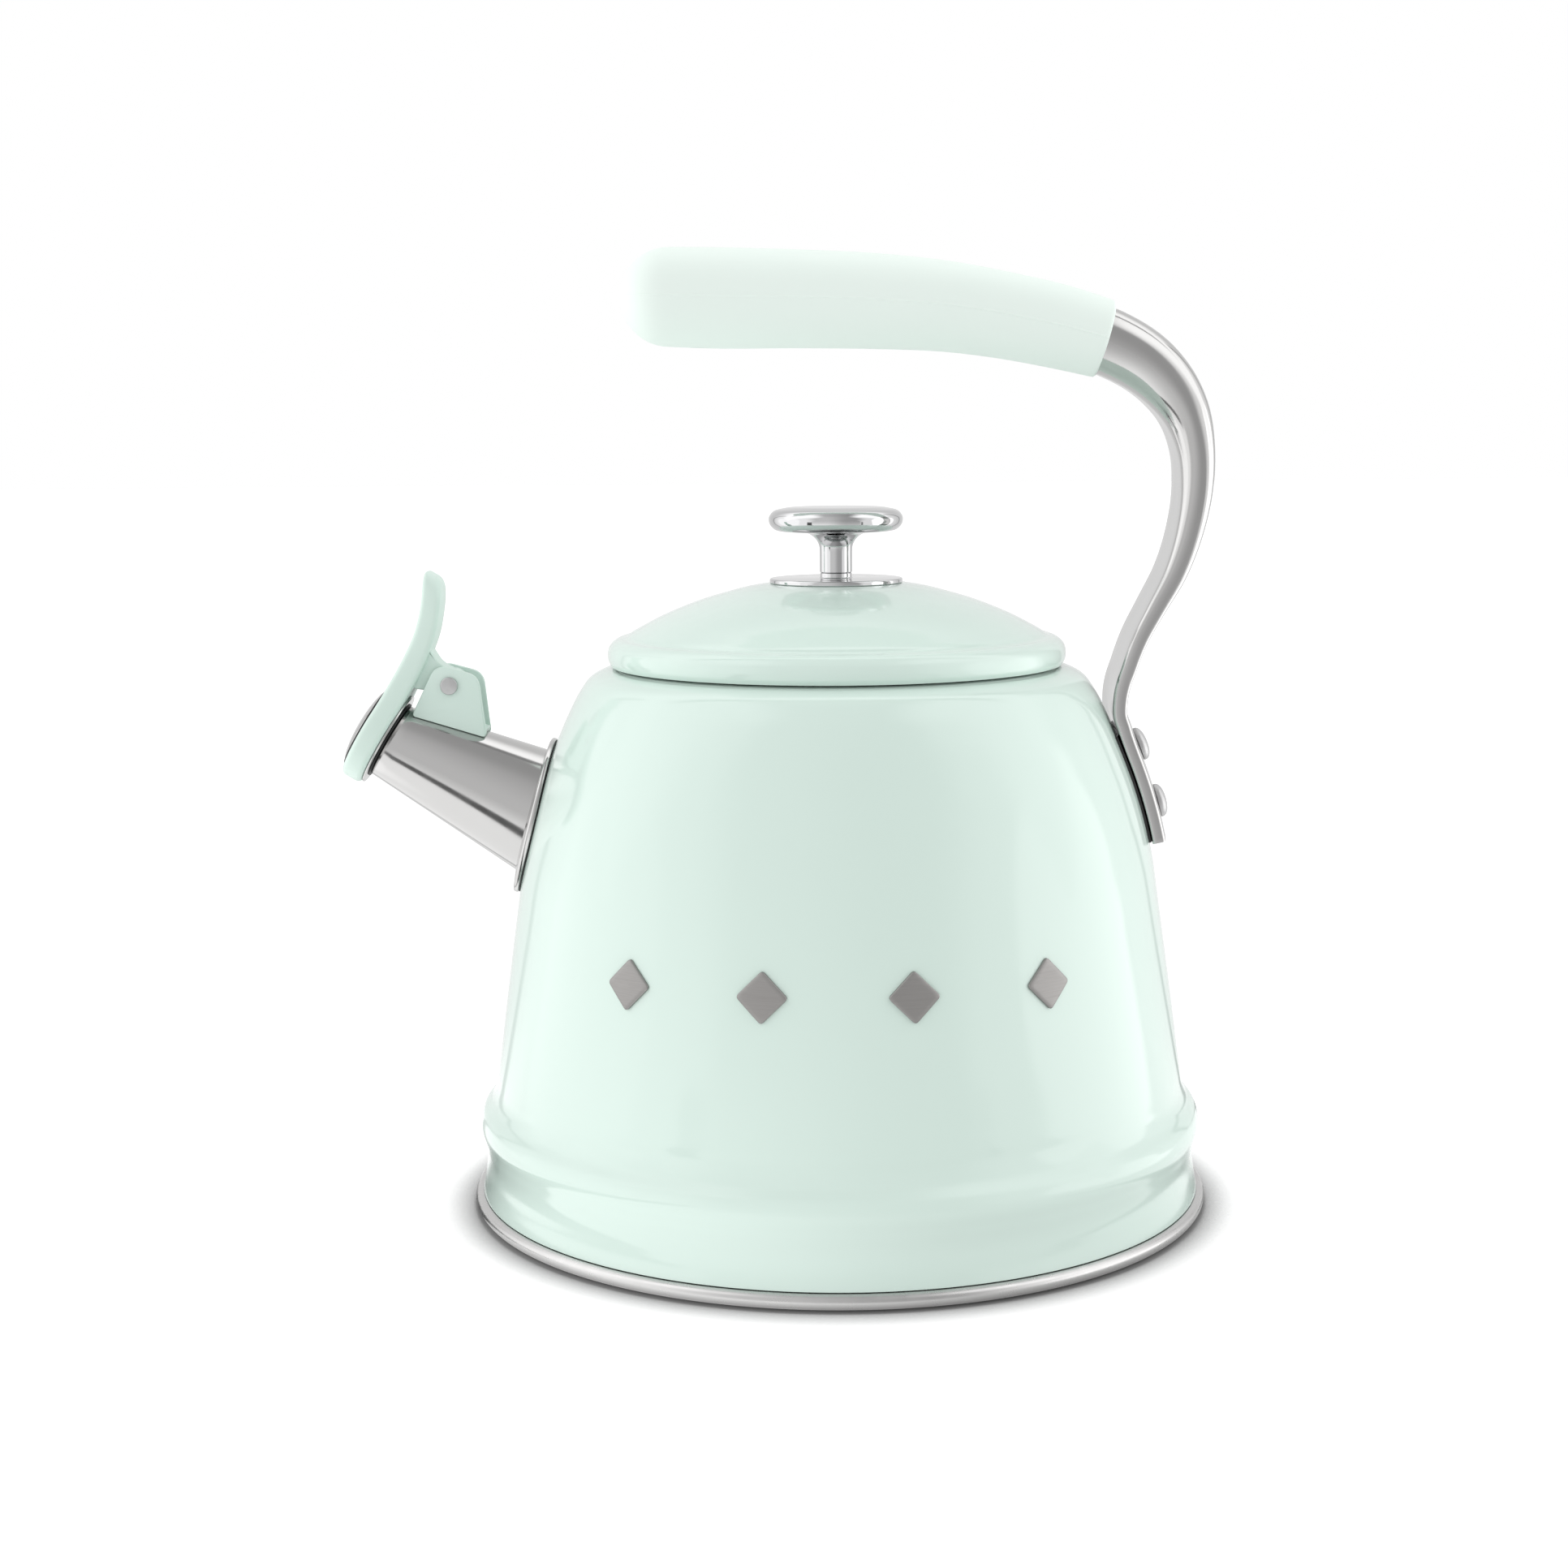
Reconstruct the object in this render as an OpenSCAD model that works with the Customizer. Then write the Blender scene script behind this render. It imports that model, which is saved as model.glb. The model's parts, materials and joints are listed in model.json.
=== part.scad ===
// Stovetop whistling kettle: enamelled steel body on a steel base, lift-off lid with a
// turned knob, conical spout with a sprung whistle, and a fixed handle riveted on one side.
// Origin: centre of the base's rest face. +Z is up, the spout points to -X, the handle is at +X.

/* [Body] */
// Radius of the body at its bottom edge
body_r = 101; // [100:0.5:102]
// Thickness of the enamelled sheet
body_wall = 1; // [0.8:0.1:1.2]
// Radius of the opening that the lid closes
neck_r = 57.8; // [57:0.1:58]

/* [Base] */
// Height of the body's bottom edge above the hob
base_h = 4.5; // [4.3:0.1:4.8]
// Radius of the rolled steel bead round the base
bead_r = 2.05; // [1.9:0.05:2.1]
// Radius of the flat steel plate that rests on the hob
plate_r = 93.5; // [90:0.5:95]

/* [Lid] */
// Outer radius of the lid's rim
lid_r = 63.4; // [63:0.1:64]
// Thickness of the lid's sheet
lid_wall = 1; // [0.8:0.1:1.2]
// Height of the lid's flat top, where the knob sits
lid_top = 173.1; // [172.9:0.1:173.3]

/* [Knob] */
// Radius of the knob's disc
knob_r = 18.6; // [18:0.1:19]
// Radius of the knob's neck
knob_neck_r = 4.5; // [4.4:0.1:4.7]
// Radius of the plate under the knob
knob_plate_r = 18.4; // [18:0.1:19]
// Radius of the knob's screw
screw_r = 2; // [1.8:0.1:2]

/* [Spout] */
// Inner radius of the spout's wall at the mouth, plus the wall
mouth_r = 10.8; // [10.6:0.1:11]
// Thickness of the spout's wall
spout_wall = 1; // [0.8:0.1:1.2]
// Angle of the spout's axis above level
spout_tilt = 26.2; // [26:0.1:26.5]
// Half angle of the spout's cone
spout_taper = 8.25; // [8:0.05:8.4]
// Angle of the mouth's normal above level
mouth_tilt = 31; // [30.5:0.5:31.5]
// Radius of the collar round the spout's root
collar_r = 22.3; // [21.5:0.1:22.5]

/* [Whistle] */
// Radius of the lever's ring, which closes the mouth
flap_r = 14.7; // [14.5:0.1:15]
// Width of the thumb tab
tab_w = 13; // [12:0.5:14]
// Thickness of the lever's ring
flap_t = 6.2; // [6:0.1:6.4]
// Radius of the hinge pin
pin_r = 1.5; // [1.4:0.05:1.5]
// Overall width of the hinge bracket
bracket_w = 12; // [11.6:0.1:12.4]

/* [Handle] */
// Girth of the steel tube, which stays the same where it is flattened
tube_girth = 64; // [63:0.5:64.5]
// Wall of the steel tube
tube_wall = 1.2; // [1:0.1:1.4]
// Half thickness of the flattened strap on the body
strap_half = 1.9; // [1.8:0.1:2]
// Width of the grip divided by its height
grip_aspect = 1.08; // [1.08:0.01:1.15]
// Radius of a rivet's head
rivet_head_r = 4.7; // [4.4:0.1:5]

/* [Hidden] */
$fn = 96;

mint = [0.83, 0.91, 0.87];
steel = [0.75, 0.76, 0.77];
chrome = [0.85, 0.86, 0.87];
black = [0.08, 0.08, 0.08];

// Clearance of a running fit, and the gap between pieces that only lie on each other
fit = 0.05;
gap = 0.1;
// Cut that reaches past a face
over = 1;
// Reach of a cut that goes through everything
far = 60;

// --- Curves ---------------------------------------------------------------------------

// Direction of the curve at point i, from its two neighbours weighted by distance
function slope(p, i) =
    let (
        n = len(p) - 1,
        before = i > 0 ? norm(p[i] - p[i - 1]) : 1,
        after = i < n ? norm(p[i + 1] - p[i]) : 1
    )
    i == 0 ? (p[1] - p[0]) / after :
    i == n ? (p[n] - p[n - 1]) / before :
    ((p[i] - p[i - 1]) / before * after + (p[i + 1] - p[i]) / after * before) / (before + after);

// Point at t = 0 to 1 between a and b, which the curve passes in directions da and db
function between(a, b, da, db, t) =
    (1 + 2 * t) * (1 - t) * (1 - t) * a + t * (1 - t) * (1 - t) * norm(b - a) * da
    + t * t * (3 - 2 * t) * b + t * t * (t - 1) * norm(b - a) * db;

// Smooth curve through the points, with a number of steps between neighbours
function smooth(p, steps) = [
    for (i = [0 : len(p) - 2])
        for (s = [0 : steps - 1])
            between(p[i], p[i + 1], slope(p, i), slope(p, i + 1), s / steps),
    p[len(p) - 1]
];

function reversed(p) = [for (i = [len(p) - 1 : -1 : 0]) p[i]];

// The curve moved sideways, to its left, by d
function parallel(p, d) = [
    for (i = [0 : len(p) - 1])
        let (way = p[min(i + 1, len(p) - 1)] - p[max(i - 1, 0)])
        p[i] + d * [-way[1], way[0]] / norm(way)
];

// Outline of a sheet of thickness t on the left of the curve
function sheet(p, t) = concat(p, reversed(parallel(p, t)));

// Polygon with each corner eased over the distance that reach gives for it
function rounded(p, reach, steps = 4) = [
    for (i = [0 : len(p) - 1])
        let (
            b = p[i],
            a = p[(i + len(p) - 1) % len(p)],
            c = p[(i + 1) % len(p)],
            from = b + reach[i] * (a - b) / norm(a - b),
            to = b + reach[i] * (c - b) / norm(c - b)
        )
        for (k = [0 : steps])
            let (t = k / steps)
            (1 - t) * (1 - t) * from + 2 * t * (1 - t) * b + t * t * to
];

// Closed solid through rings that all have the same number of points
module skin(rings) {
    n = len(rings[0]);
    last = len(rings) - 1;
    polyhedron(
        points = [for (ring = rings) each ring],
        faces = concat(
            [[for (k = [0 : n - 1]) n - 1 - k]],
            [for (i = [0 : last - 1]) for (k = [0 : n - 1]) [i * n + k, i * n + (k + 1) % n, (i + 1) * n + k]],
            [
                for (i = [0 : last - 1]) for (k = [0 : n - 1])
                    [i * n + (k + 1) % n, (i + 1) * n + (k + 1) % n, (i + 1) * n + k]
            ],
            [[for (k = [0 : n - 1]) last * n + k]]
        )
    );
}

// Extrudes an outline drawn in X and Z to a width that is centred on Y = 0
module side(width) {
    rotate([90, 0, 0])
        linear_extrude(width, center = true)
            children();
}

// --- Body profile ---------------------------------------------------------------------

// Outside of the body, as radius and height, from the bottom edge up and over into the neck
body_points = [
    [body_r, base_h + 0.2 + fit], [body_r - 0.9, 9.5], [body_r - 1.4, 14.5], [body_r - 0.7, 19],
    [body_r + 0.2, 23.5], [body_r - 0.6, 27], [body_r - 3, 30], [body_r - 4.4, 33.5],
    [body_r - 5.1, 38], [93.5, 56], [89.6, 84], [87.4, 99], [85.3, 108.5], [82.3, 118.5],
    [78.7, 128], [74.4, 138], [71.2, 144], [68.4, 147.6], [65.6, 149.2], [62.5, 150.2], [60, 150.6],
    [neck_r + 0.6, 150], [neck_r, 148.4], [neck_r, 142]
];
body_curve = smooth(body_points, 3);
side_curve = [for (p = body_curve) if (p[1] > 80 && p[1] < 140 && p[0] > neck_r + 3) p];

// Radius of the body's outside at height z
function body_at(z) = lookup(z, [for (p = side_curve) [p[1], p[0]]]);

// Sheet that lies on the body between two heights, from one distance off it to another
function body_patch(low, high, inner, outer) =
    let (part = [for (p = side_curve) if (p[1] > low && p[1] < high) p])
    concat(parallel(part, -outer), reversed(parallel(part, -inner)));

module body_shell() {
    color(mint)
        difference() {
            rotate_extrude() polygon(sheet(body_curve, body_wall));
            spout_cone(-spout_wall, spout_l - 8, spout_l + 9);
            rivet_axes() translate([0, 0, -far / 2]) cylinder(r = rivet_r + fit, h = far);
        }
}

// --- Base -----------------------------------------------------------------------------

pan_t = 1;
flange_h = 2.5;
plate_t = 1.3;
groove_r = [30, 50, 70];
groove_depth = 0.3;

module base_pan() {
    color(steel)
        rotate_extrude()
            union() {
                translate([0, base_h - pan_t]) square([body_r, pan_t]);
                translate([body_r - 3.6, base_h - pan_t]) square([1, pan_t + flange_h]);
                translate([body_r + 0.1, base_h - bead_r]) circle(r = bead_r, $fn = 48);
            }
}

module heat_disc() {
    color([0.7, 0.7, 0.72])
        translate([0, 0, plate_t])
            cylinder(r = plate_r - 1.2, h = base_h - pan_t - plate_t);
}

// A shallow steel cup round the aluminium disc, with turned grooves in its rest face
module base_plate() {
    color(steel)
        difference() {
            cylinder(r = plate_r, h = base_h - pan_t);
            translate([0, 0, plate_t]) cylinder(r = plate_r - 1.2, h = base_h);
            for (r = groove_r)
                rotate_extrude() translate([r, -over]) square([1, over + groove_depth]);
        }
}

// --- Front ornaments ------------------------------------------------------------------

ornament_z = 76.4;
ornament_size = 13.4;
ornament_t = 0.8;
ornament_angles = [-35.7, -12, 12, 35.7];

module front_ornaments() {
    near = [for (p = body_curve) if (p[1] > ornament_z - 16 && p[1] < ornament_z + 16) p];
    color(steel)
        for (angle = ornament_angles)
            rotate([0, 0, angle])
                intersection() {
                    rotate([0, 0, -105])
                        rotate_extrude(angle = 30)
                            polygon(concat(parallel(near, -fit - ornament_t), reversed(parallel(near, -fit))));
                    translate([0, -body_r, ornament_z])
                        rotate([90, 45, 0])
                            linear_extrude(60, center = true)
                                square(ornament_size / sqrt(2), center = true);
                }
}

// --- Spout ----------------------------------------------------------------------------

// Centre of the mouth, in X and Z
mouth = [-125, 129.8];
// Distance from the mouth to the body's wall along the spout's axis
spout_l = 44.5;
collar_centre = [-85.2, 108.6];
collar_tilt = 15.9;
collar_t = 1.3;
seal_t = 0.6;

// Puts things at the mouth, with +Z out of the mouth and +X up along its plane
module at_mouth() {
    translate([mouth[0], 0, mouth[1]])
        rotate([0, mouth_tilt - 90, 0])
            children();
}

// Point of the mouth's plane in X and Z: up along the plane, then out of it
function mouth_point(up, out) =
    mouth + up * [sin(mouth_tilt), cos(mouth_tilt)] + out * [-cos(mouth_tilt), sin(mouth_tilt)];

// Solid cone of the spout, thickened by extra, between two distances from the mouth
module spout_cone(extra, from, to) {
    grow = extra / cos(spout_taper);
    translate([mouth[0], 0, mouth[1]])
        rotate([0, 90 + spout_tilt, 0])
            translate([0, 0, from])
                cylinder(
                    r1 = mouth_r + grow + from * tan(spout_taper),
                    r2 = mouth_r + grow + to * tan(spout_taper),
                    h = to - from
                );
}

module spout_tube() {
    color(chrome)
        difference() {
            spout_cone(0, -6, spout_l + 6);
            spout_cone(-spout_wall, -7, spout_l + 7);
            at_mouth() cylinder(r = 2 * mouth_r, h = 20);
            rotate_extrude() polygon(concat([[0, 60]], parallel([for (p = side_curve) p], -gap), [[0, 140]]));
        }
}

// Round plate that follows the body at the spout's root, between two distances off the body
module root_ring(r, inner, outer) {
    difference() {
        intersection() {
            rotate([0, 0, 150]) rotate_extrude(angle = 60) polygon(body_patch(80, 140, inner, outer));
            translate([collar_centre[0], 0, collar_centre[1]])
                rotate([0, collar_tilt - 90, 0])
                    cylinder(r = r, h = 30, center = true);
        }
        spout_cone(fit, 0, spout_l + 12);
    }
}

module spout_collar() {
    color(chrome) root_ring(collar_r, seal_t, seal_t + collar_t);
}

module spout_seal() {
    color(black) root_ring(collar_r - 0.3, fit, seal_t - fit);
}

// --- Whistle --------------------------------------------------------------------------

// Hinge pin's centre, in X and Z
pin_centre = [-107.3, 145.6];
ear_t = 1.7;
lug_w = bracket_w - 2 * ear_t - 0.6;
saddle_t = 1.5;
pin_head_r = 2.45;
pin_head_h = 1.1;

module at_pin() {
    translate([pin_centre[0], 0, pin_centre[1]])
        rotate([90, 0, 0])
            children();
}

// Side view of an ear, whose lower edge runs into the spout
ear_outline = rounded(
    [[-118.6, 136.6], [-111, 151.6], [-99.2, 148.4], [-96.9, 131.4], [-98.5, 125], [-118, 131]],
    [1.2, 3.4, 3, 1.5, 0.5, 0.5]
);

module hinge_bracket() {
    color(mint)
        difference() {
            side(bracket_w) polygon(ear_outline);
            difference() {
                side(bracket_w - 2 * ear_t) translate([-130, 120]) square([50, 50]);
                spout_cone(saddle_t + gap, 0, spout_l);
            }
            spout_cone(gap, -1, spout_l);
            at_pin() cylinder(r = pin_r + fit, h = far, center = true);
        }
}

module hinge_pin() {
    color(chrome)
        at_pin() {
            cylinder(r = pin_r, h = bracket_w + 1, center = true);
            for (turn = [0, 180])
                rotate([turn, 0, 0])
                    translate([0, 0, bracket_w / 2 + fit])
                        rotate_extrude()
                            polygon(concat(
                                [[0, 0], [pin_head_r, 0]],
                                [for (a = [0 : 15 : 90]) [(pin_head_r - 0.5) + 0.5 * cos(a), pin_head_h - 0.6 + 0.4 * sin(a)]],
                                [[0, pin_head_h]]
                            ));
        }
}

// Torsion spring round the pin, in the slot between the lever's two cheeks
wire_r = 0.35;
coil_r = 2.4;
coil_turns = 3;
coil_pitch = 0.72;
coil_sides = 8;
spring_path = concat(
    [[6.3, -8.4, -1.05], [4.6, -5.4, -1.08]],
    [
        for (a = [-30 : 20 : 360 * coil_turns + 10])
            [coil_r * cos(a), coil_r * sin(a), coil_pitch * (a + 30) / 360 - 1.13]
    ],
    [[-1.4, 4.6, 1.08], [-3.7, 6.2, 1.05]]
);

// Ring of the wire at point i of a path, square to the path
function wire_ring(path, i, r, sides) =
    let (
        way = path[min(i + 1, len(path) - 1)] - path[max(i - 1, 0)],
        ahead = way / norm(way),
        out = cross(ahead, [0, 0, 1]) / norm(cross(ahead, [0, 0, 1])),
        up = cross(out, ahead)
    )
    [for (k = [0 : sides - 1]) path[i] + r * (cos(360 * k / sides) * out + sin(360 * k / sides) * up)];

module hinge_spring() {
    color(steel)
        at_pin()
            skin([for (i = [0 : len(spring_path) - 1]) wire_ring(spring_path, i, wire_r, coil_sides)]);
}

// Faces of the lever's ring, as distances out of the mouth's plane
flap_in = 1.2;
flap_out = flap_in + flap_t;
sleeve_r = 9;
// Distance up the mouth's plane at which the ring has narrowed to the tab
tab_start = 24;

lever_outer = smooth([
    mouth_point(-16, flap_out), mouth_point(0, flap_out), mouth_point(12, flap_out),
    [-119.6, 154.1], [-116.9, 159.9], [-114.8, 167.8], [-114, 174]
], 3);
lever_inner = smooth([
    mouth_point(-16, flap_in), mouth_point(0, flap_in), mouth_point(12, flap_in),
    [-112.9, 154.4], [-111, 159.5], [-109.9, 164.5], [-109.2, 170], [-109.1, 175]
], 3);
lever_top = [[-113.4, 175.7], [-111.9, 176.5], [-110.5, 176.5], [-109.5, 176.1]];

// Where the edge from the tab touches the ring, as an angle from the tab's middle line
touch = atan(tab_w / 2 / tab_start) + acos(flap_r / norm([tab_start, tab_w / 2]));
tab_end = 48;
lever_front = rounded(
    [
        [flap_r * cos(touch), flap_r * sin(touch)], [flap_r * cos(touch), -flap_r * sin(touch)],
        [tab_start, -tab_w / 2], [tab_end, -tab_w / 2], [tab_end, tab_w / 2], [tab_start, tab_w / 2]
    ],
    [0.1, 0.1, 6, 4, 4, 6]
);

lug_outline = [
    [-113.2, 156.6], [-111.9, 154.6], [-110.9, 152.7], [-109.6, 151.4], [-107.6, 150], [-103.5, 147.5], [-103.5, 143],
    [-109.4, 141.6], [-114, 144], [-117.6, 144.9], [-119, 148]
];

module whistle_lever() {
    color(mint)
        difference() {
            union() {
                intersection() {
                    side(4 * flap_r) polygon(concat(lever_outer, lever_top, reversed(lever_inner)));
                    at_mouth()
                        translate([0, 0, -8])
                            linear_extrude(32)
                                union() {
                                    circle(r = flap_r);
                                    polygon(lever_front);
                                }
                }
                side(lug_w) polygon(lug_outline);
                at_pin() cylinder(r = 4.4, h = lug_w, center = true);
            }
            at_mouth() translate([0, 0, -over]) cylinder(r = sleeve_r + fit, h = flap_out + 2 * over);
            at_pin() cylinder(r = pin_r + fit, h = far, center = true);
            // Slot for the spring
            at_pin() cylinder(r = 5, h = 3.4, center = true);
            side(3.4) polygon([[-107.3, 150], [-107.3, 153], [-112.2, 153], [-109.6, 147]]);
        }
}

module whistle_plate() {
    plate_in = 0.5;
    color(chrome)
        at_mouth()
            rotate_extrude()
                polygon([
                    [2.2, plate_in], [flap_r - 0.9, plate_in], [flap_r - 0.9, flap_in - gap],
                    [sleeve_r, flap_in - gap], [sleeve_r, flap_out - 1.4], [sleeve_r - 0.6, flap_out - 1.4],
                    [sleeve_r - 0.6, flap_in - gap], [2.2, flap_in - gap]
                ]);
}

// Domed outer disc of the whistle, with its steam hole
cover_r = 11.8;
cover_h = 2.4;
cover_t = 0.7;

module whistle_cover() {
    dome = [for (a = [4 : 6 : 88]) [cover_r * cos(a), flap_out + cover_h * sin(a)]];
    rim = [[1.6, flap_out + cover_h], [1.6, flap_out + cover_h - cover_t]];
    inside = [for (a = [88 : -6 : 4]) [(cover_r - cover_t) * cos(a), flap_out + (cover_h - cover_t) * sin(a)]];
    color(chrome)
        at_mouth()
            rotate_extrude()
                polygon(concat(
                    [[cover_r, flap_out]],
                    [for (p = dome) if (p[0] > 2) p],
                    rim,
                    [for (p = inside) if (p[0] > 2) p],
                    [[cover_r - cover_t, flap_out]]
                ));
}

module whistle_seal() {
    color(black)
        at_mouth()
            difference() {
                translate([0, 0, fit]) cylinder(r = mouth_r + 1.8, h = 0.45);
                cylinder(r = mouth_r - 1.6, h = 3, center = true);
            }
}

// --- Lid ------------------------------------------------------------------------------

lid_points = [
    [lid_r - 0.9, 151], [lid_r - 0.2, 152.3], [lid_r, 154.3], [lid_r - 0.4, 156.1],
    [lid_r - 1.6, 157.5], [60, 158.4], [57.6, 159.4], [53.8, 161.5], [49, 164], [43, 166.6],
    [37.6, 168.6], [31.2, 170.5], [25, 172.1], [knob_plate_r + 0.6, lid_top]
];
lid_curve = concat(smooth(lid_points, 3), [[screw_r + 0.1, lid_top]]);
skirt_r = neck_r - 1.4;
skirt_low = 139.5;
skirt_top = 151.8;
skirt_t = 0.8;

module lid_shell() {
    color(mint) rotate_extrude() polygon(sheet(lid_curve, lid_wall));
}

// Steel ring that guides the lid in the neck
module lid_skirt() {
    color(steel)
        rotate_extrude()
            polygon([
                [skirt_r - skirt_t, skirt_low], [skirt_r, skirt_low], [skirt_r, skirt_top - skirt_t],
                [lid_r - 2.1, skirt_top - skirt_t], [lid_r - 2.1, skirt_top], [skirt_r - skirt_t, skirt_top]
            ]);
}

// Silicone ring with two lips, round the skirt
module lid_seal() {
    inner = skirt_r + fit;
    lip = neck_r - 0.3;
    color(black)
        rotate_extrude()
            polygon([
                [inner, 143], [lip, 143.6], [lip, 144.2], [inner + 0.5, 144.8],
                [inner + 0.5, 145.6], [lip, 146.2], [lip, 146.8], [inner, 147.4]
            ]);
}

// --- Knob -----------------------------------------------------------------------------

knob_plate_t = 1.4;
boss_top = lid_top + 2.8;
knob_low = lid_top + 14.1;
knob_top = lid_top + 21.1;
bore_r = screw_r + fit;

module knob_plate() {
    top = lid_top + knob_plate_t;
    color(chrome)
        rotate_extrude()
            polygon([
                [bore_r, lid_top + fit], [knob_plate_r - 0.3, lid_top + fit], [knob_plate_r, lid_top + 0.5],
                [knob_plate_r, top - 0.5], [knob_plate_r - 0.5, top], [knob_neck_r - 0.1, top],
                [knob_neck_r - 0.1, boss_top - 0.2], [knob_neck_r - 0.3, boss_top], [bore_r, boss_top]
            ]);
}

module knob() {
    neck = [[knob_neck_r, boss_top + fit], [knob_neck_r, knob_low - 4.5]];
    flare = smooth([
        [knob_neck_r, knob_low - 4.5], [knob_neck_r + 0.7, knob_low - 2.5],
        [knob_neck_r + 2.6, knob_low - 0.8], [knob_neck_r + 5.8, knob_low]
    ], 3);
    edge = smooth([
        [knob_r - 4.6, knob_low], [knob_r - 1.6, knob_low + 0.6], [knob_r - 0.2, knob_low + 2.3],
        [knob_r - 0.1, knob_low + 4.2], [knob_r - 1.2, knob_low + 5.8], [knob_r - 4, knob_low + 6.6],
        [9, knob_top - 0.1], [0, knob_top]
    ], 3);
    color(chrome)
        difference() {
            rotate_extrude() polygon(concat([[0, boss_top + fit]], neck, flare, edge));
            cylinder(r = bore_r, h = knob_low);
        }
}

washer_t = 0.8;
head_h = 2.4;

module knob_screw() {
    under = lid_top - lid_wall - washer_t;
    color(steel)
        difference() {
            union() {
                translate([0, 0, under - head_h]) cylinder(r = 4, h = head_h);
                translate([0, 0, under - fit]) cylinder(r = screw_r, h = knob_low - 1 - under);
            }
            translate([-5, -0.5, under - head_h - over]) cube([10, 1, 1 + over]);
        }
}

module knob_washer() {
    color(steel)
        translate([0, 0, lid_top - lid_wall - washer_t])
            difference() {
                cylinder(r = 6, h = washer_t - fit);
                translate([0, 0, -over]) cylinder(r = bore_r, h = 3);
            }
}

// --- Handle ---------------------------------------------------------------------------

pad_t = 0.7;
strap_low = 101.6;
strap_high = 131.5;

// Middle of the strap where it lies on the body at height z, with its half thickness
function on_body(z) =
    let (lean = atan((body_at(z - 1) - body_at(z + 1)) / 2), off = pad_t + gap + strap_half)
    [body_at(z) + off * cos(lean), z + off * sin(lean), strap_half];

// Middle line of the bar as X, Z and half thickness: up the body, round the bend, into the grip
bar_line = smooth(
    concat(
        [for (z = [strap_low : 5 : strap_high]) on_body(z)],
        [
            [79.4, 134, 1.95], [78.2, 137, 2], [77.9, 140.5, 2.05], [78.3, 145, 2.1],
            [79.5, 149.5, 2.15], [82.5, 157.7, 2.3], [86.9, 166.1, 2.6], [92.1, 175.7, 3.15],
            [96, 187.4, 3.75], [97.8, 198.2, 4.35], [97.6, 209, 5.1], [94.9, 219.2, 6.5],
            [90.8, 225.9, 7.6], [85.2, 231.6, 8.45], [74.2, 238, 9.1], [61, 241.9, 9.15],
            [46, 245, 9.15], [28, 247.9, 9.15], [8, 249.4, 9.15], [-20, 250.3, 9.15]
        ]
    ),
    2
);
// Where the tube is still open inside, and where the grip begins
hollow = [for (i = [0 : len(bar_line) - 1]) if (bar_line[i][2] > 2.8) i];
gripped = [for (i = [0 : len(bar_line) - 1]) if (bar_line[i][0] < 74.3 && bar_line[i][1] > 200) i];

// Half width of the flattened tube whose half thickness is h, from its girth
function half_width(h) = h + (tube_girth - 2 * PI * h) / 4;

// Half of a tube's section, as Y and height: round the edge, then along the inner face
function half_section(flat, h) = concat(
    [for (a = [0 : 20 : 180]) [flat + h * sin(a), h * cos(a)]],
    [[flat / 3, -h], [-flat / 3, -h]]
);

// Ring of the tube: flat faces and round edges, dished to fit the body low down
function tube_ring(i, extra) =
    let (
        p = bar_line[i],
        way = bar_line[min(i + 1, len(bar_line) - 1)] - bar_line[max(i - 1, 0)],
        ahead = [way[0], way[1]] / norm([way[0], way[1]]),
        out = [ahead[1], -ahead[0]],
        h = p[2] + extra,
        half = half_section(half_width(p[2]) - p[2], h),
        dish = 0.48 / body_at(120) * min(1, max(0, (150 - p[1]) / 18))
    )
    [
        for (q = concat(half, -half))
            let (u = q[1] - dish * q[0] * q[0])
            [p[0] + out[0] * u, q[0], p[1] + out[1] * u]
    ];

rivet_r = 2.5;
rivet_z = [125.8, 110.4];
head_height = 2.7;

// Puts things at each rivet, with +Z out of the body and the origin on the strap's outer face
module rivet_axes() {
    for (z = rivet_z) {
        lean = atan((body_at(z - 1) - body_at(z + 1)) / 2);
        off = pad_t + gap + 2 * strap_half;
        translate([body_at(z) + off * cos(lean), 0, z + off * sin(lean)])
            rotate([0, 90 - lean, 0])
                children();
    }
}

module handle_bar() {
    color(chrome)
        difference() {
            skin(concat(
                [for (i = [0 : len(bar_line) - 1]) reversed(tube_ring(i, 0))],
                [for (i = reversed(hollow)) reversed(tube_ring(i, -tube_wall))]
            ));
            rivet_axes() translate([0, 0, -15]) cylinder(r = rivet_r + fit, h = 25);
        }
}

// Middle line of the grip as X, Z and half height, after its round end
grip_end = [-45.2, 251.2, 13.4];
grip_points = [
    grip_end, [-36, 250.9, 13.55], [-8, 250.3, 13.2], [12, 249.5, 12.8], [31, 247.9, 12.15],
    [48, 245.1, 11.6], [61, 242.3, 11.3], [73.7, 238.8, 10.65]
];
grip_line = concat(
    [for (a = [9 : 13.5 : 80]) [grip_end[0] - grip_end[2] * cos(a), grip_end[1], grip_end[2] * sin(a)]],
    smooth(grip_points, 2)
);

function grip_ring(i) =
    let (
        p = grip_line[i],
        way = grip_line[min(i + 1, len(grip_line) - 1)] - grip_line[max(i - 1, 0)],
        ahead = [way[0], way[1]] / norm([way[0], way[1]]),
        half = half_section((grip_aspect - 1) * p[2], p[2])
    )
    [for (q = concat(half, -half)) [p[0] - ahead[1] * q[1], q[0], p[1] + ahead[0] * q[1]]];

// Soft grip moulded over the tube
module handle_grip() {
    color(mint)
        skin(concat(
            [for (i = [0 : len(grip_line) - 1]) grip_ring(i)],
            [for (i = gripped) tube_ring(i, fit)]
        ));
}

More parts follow.
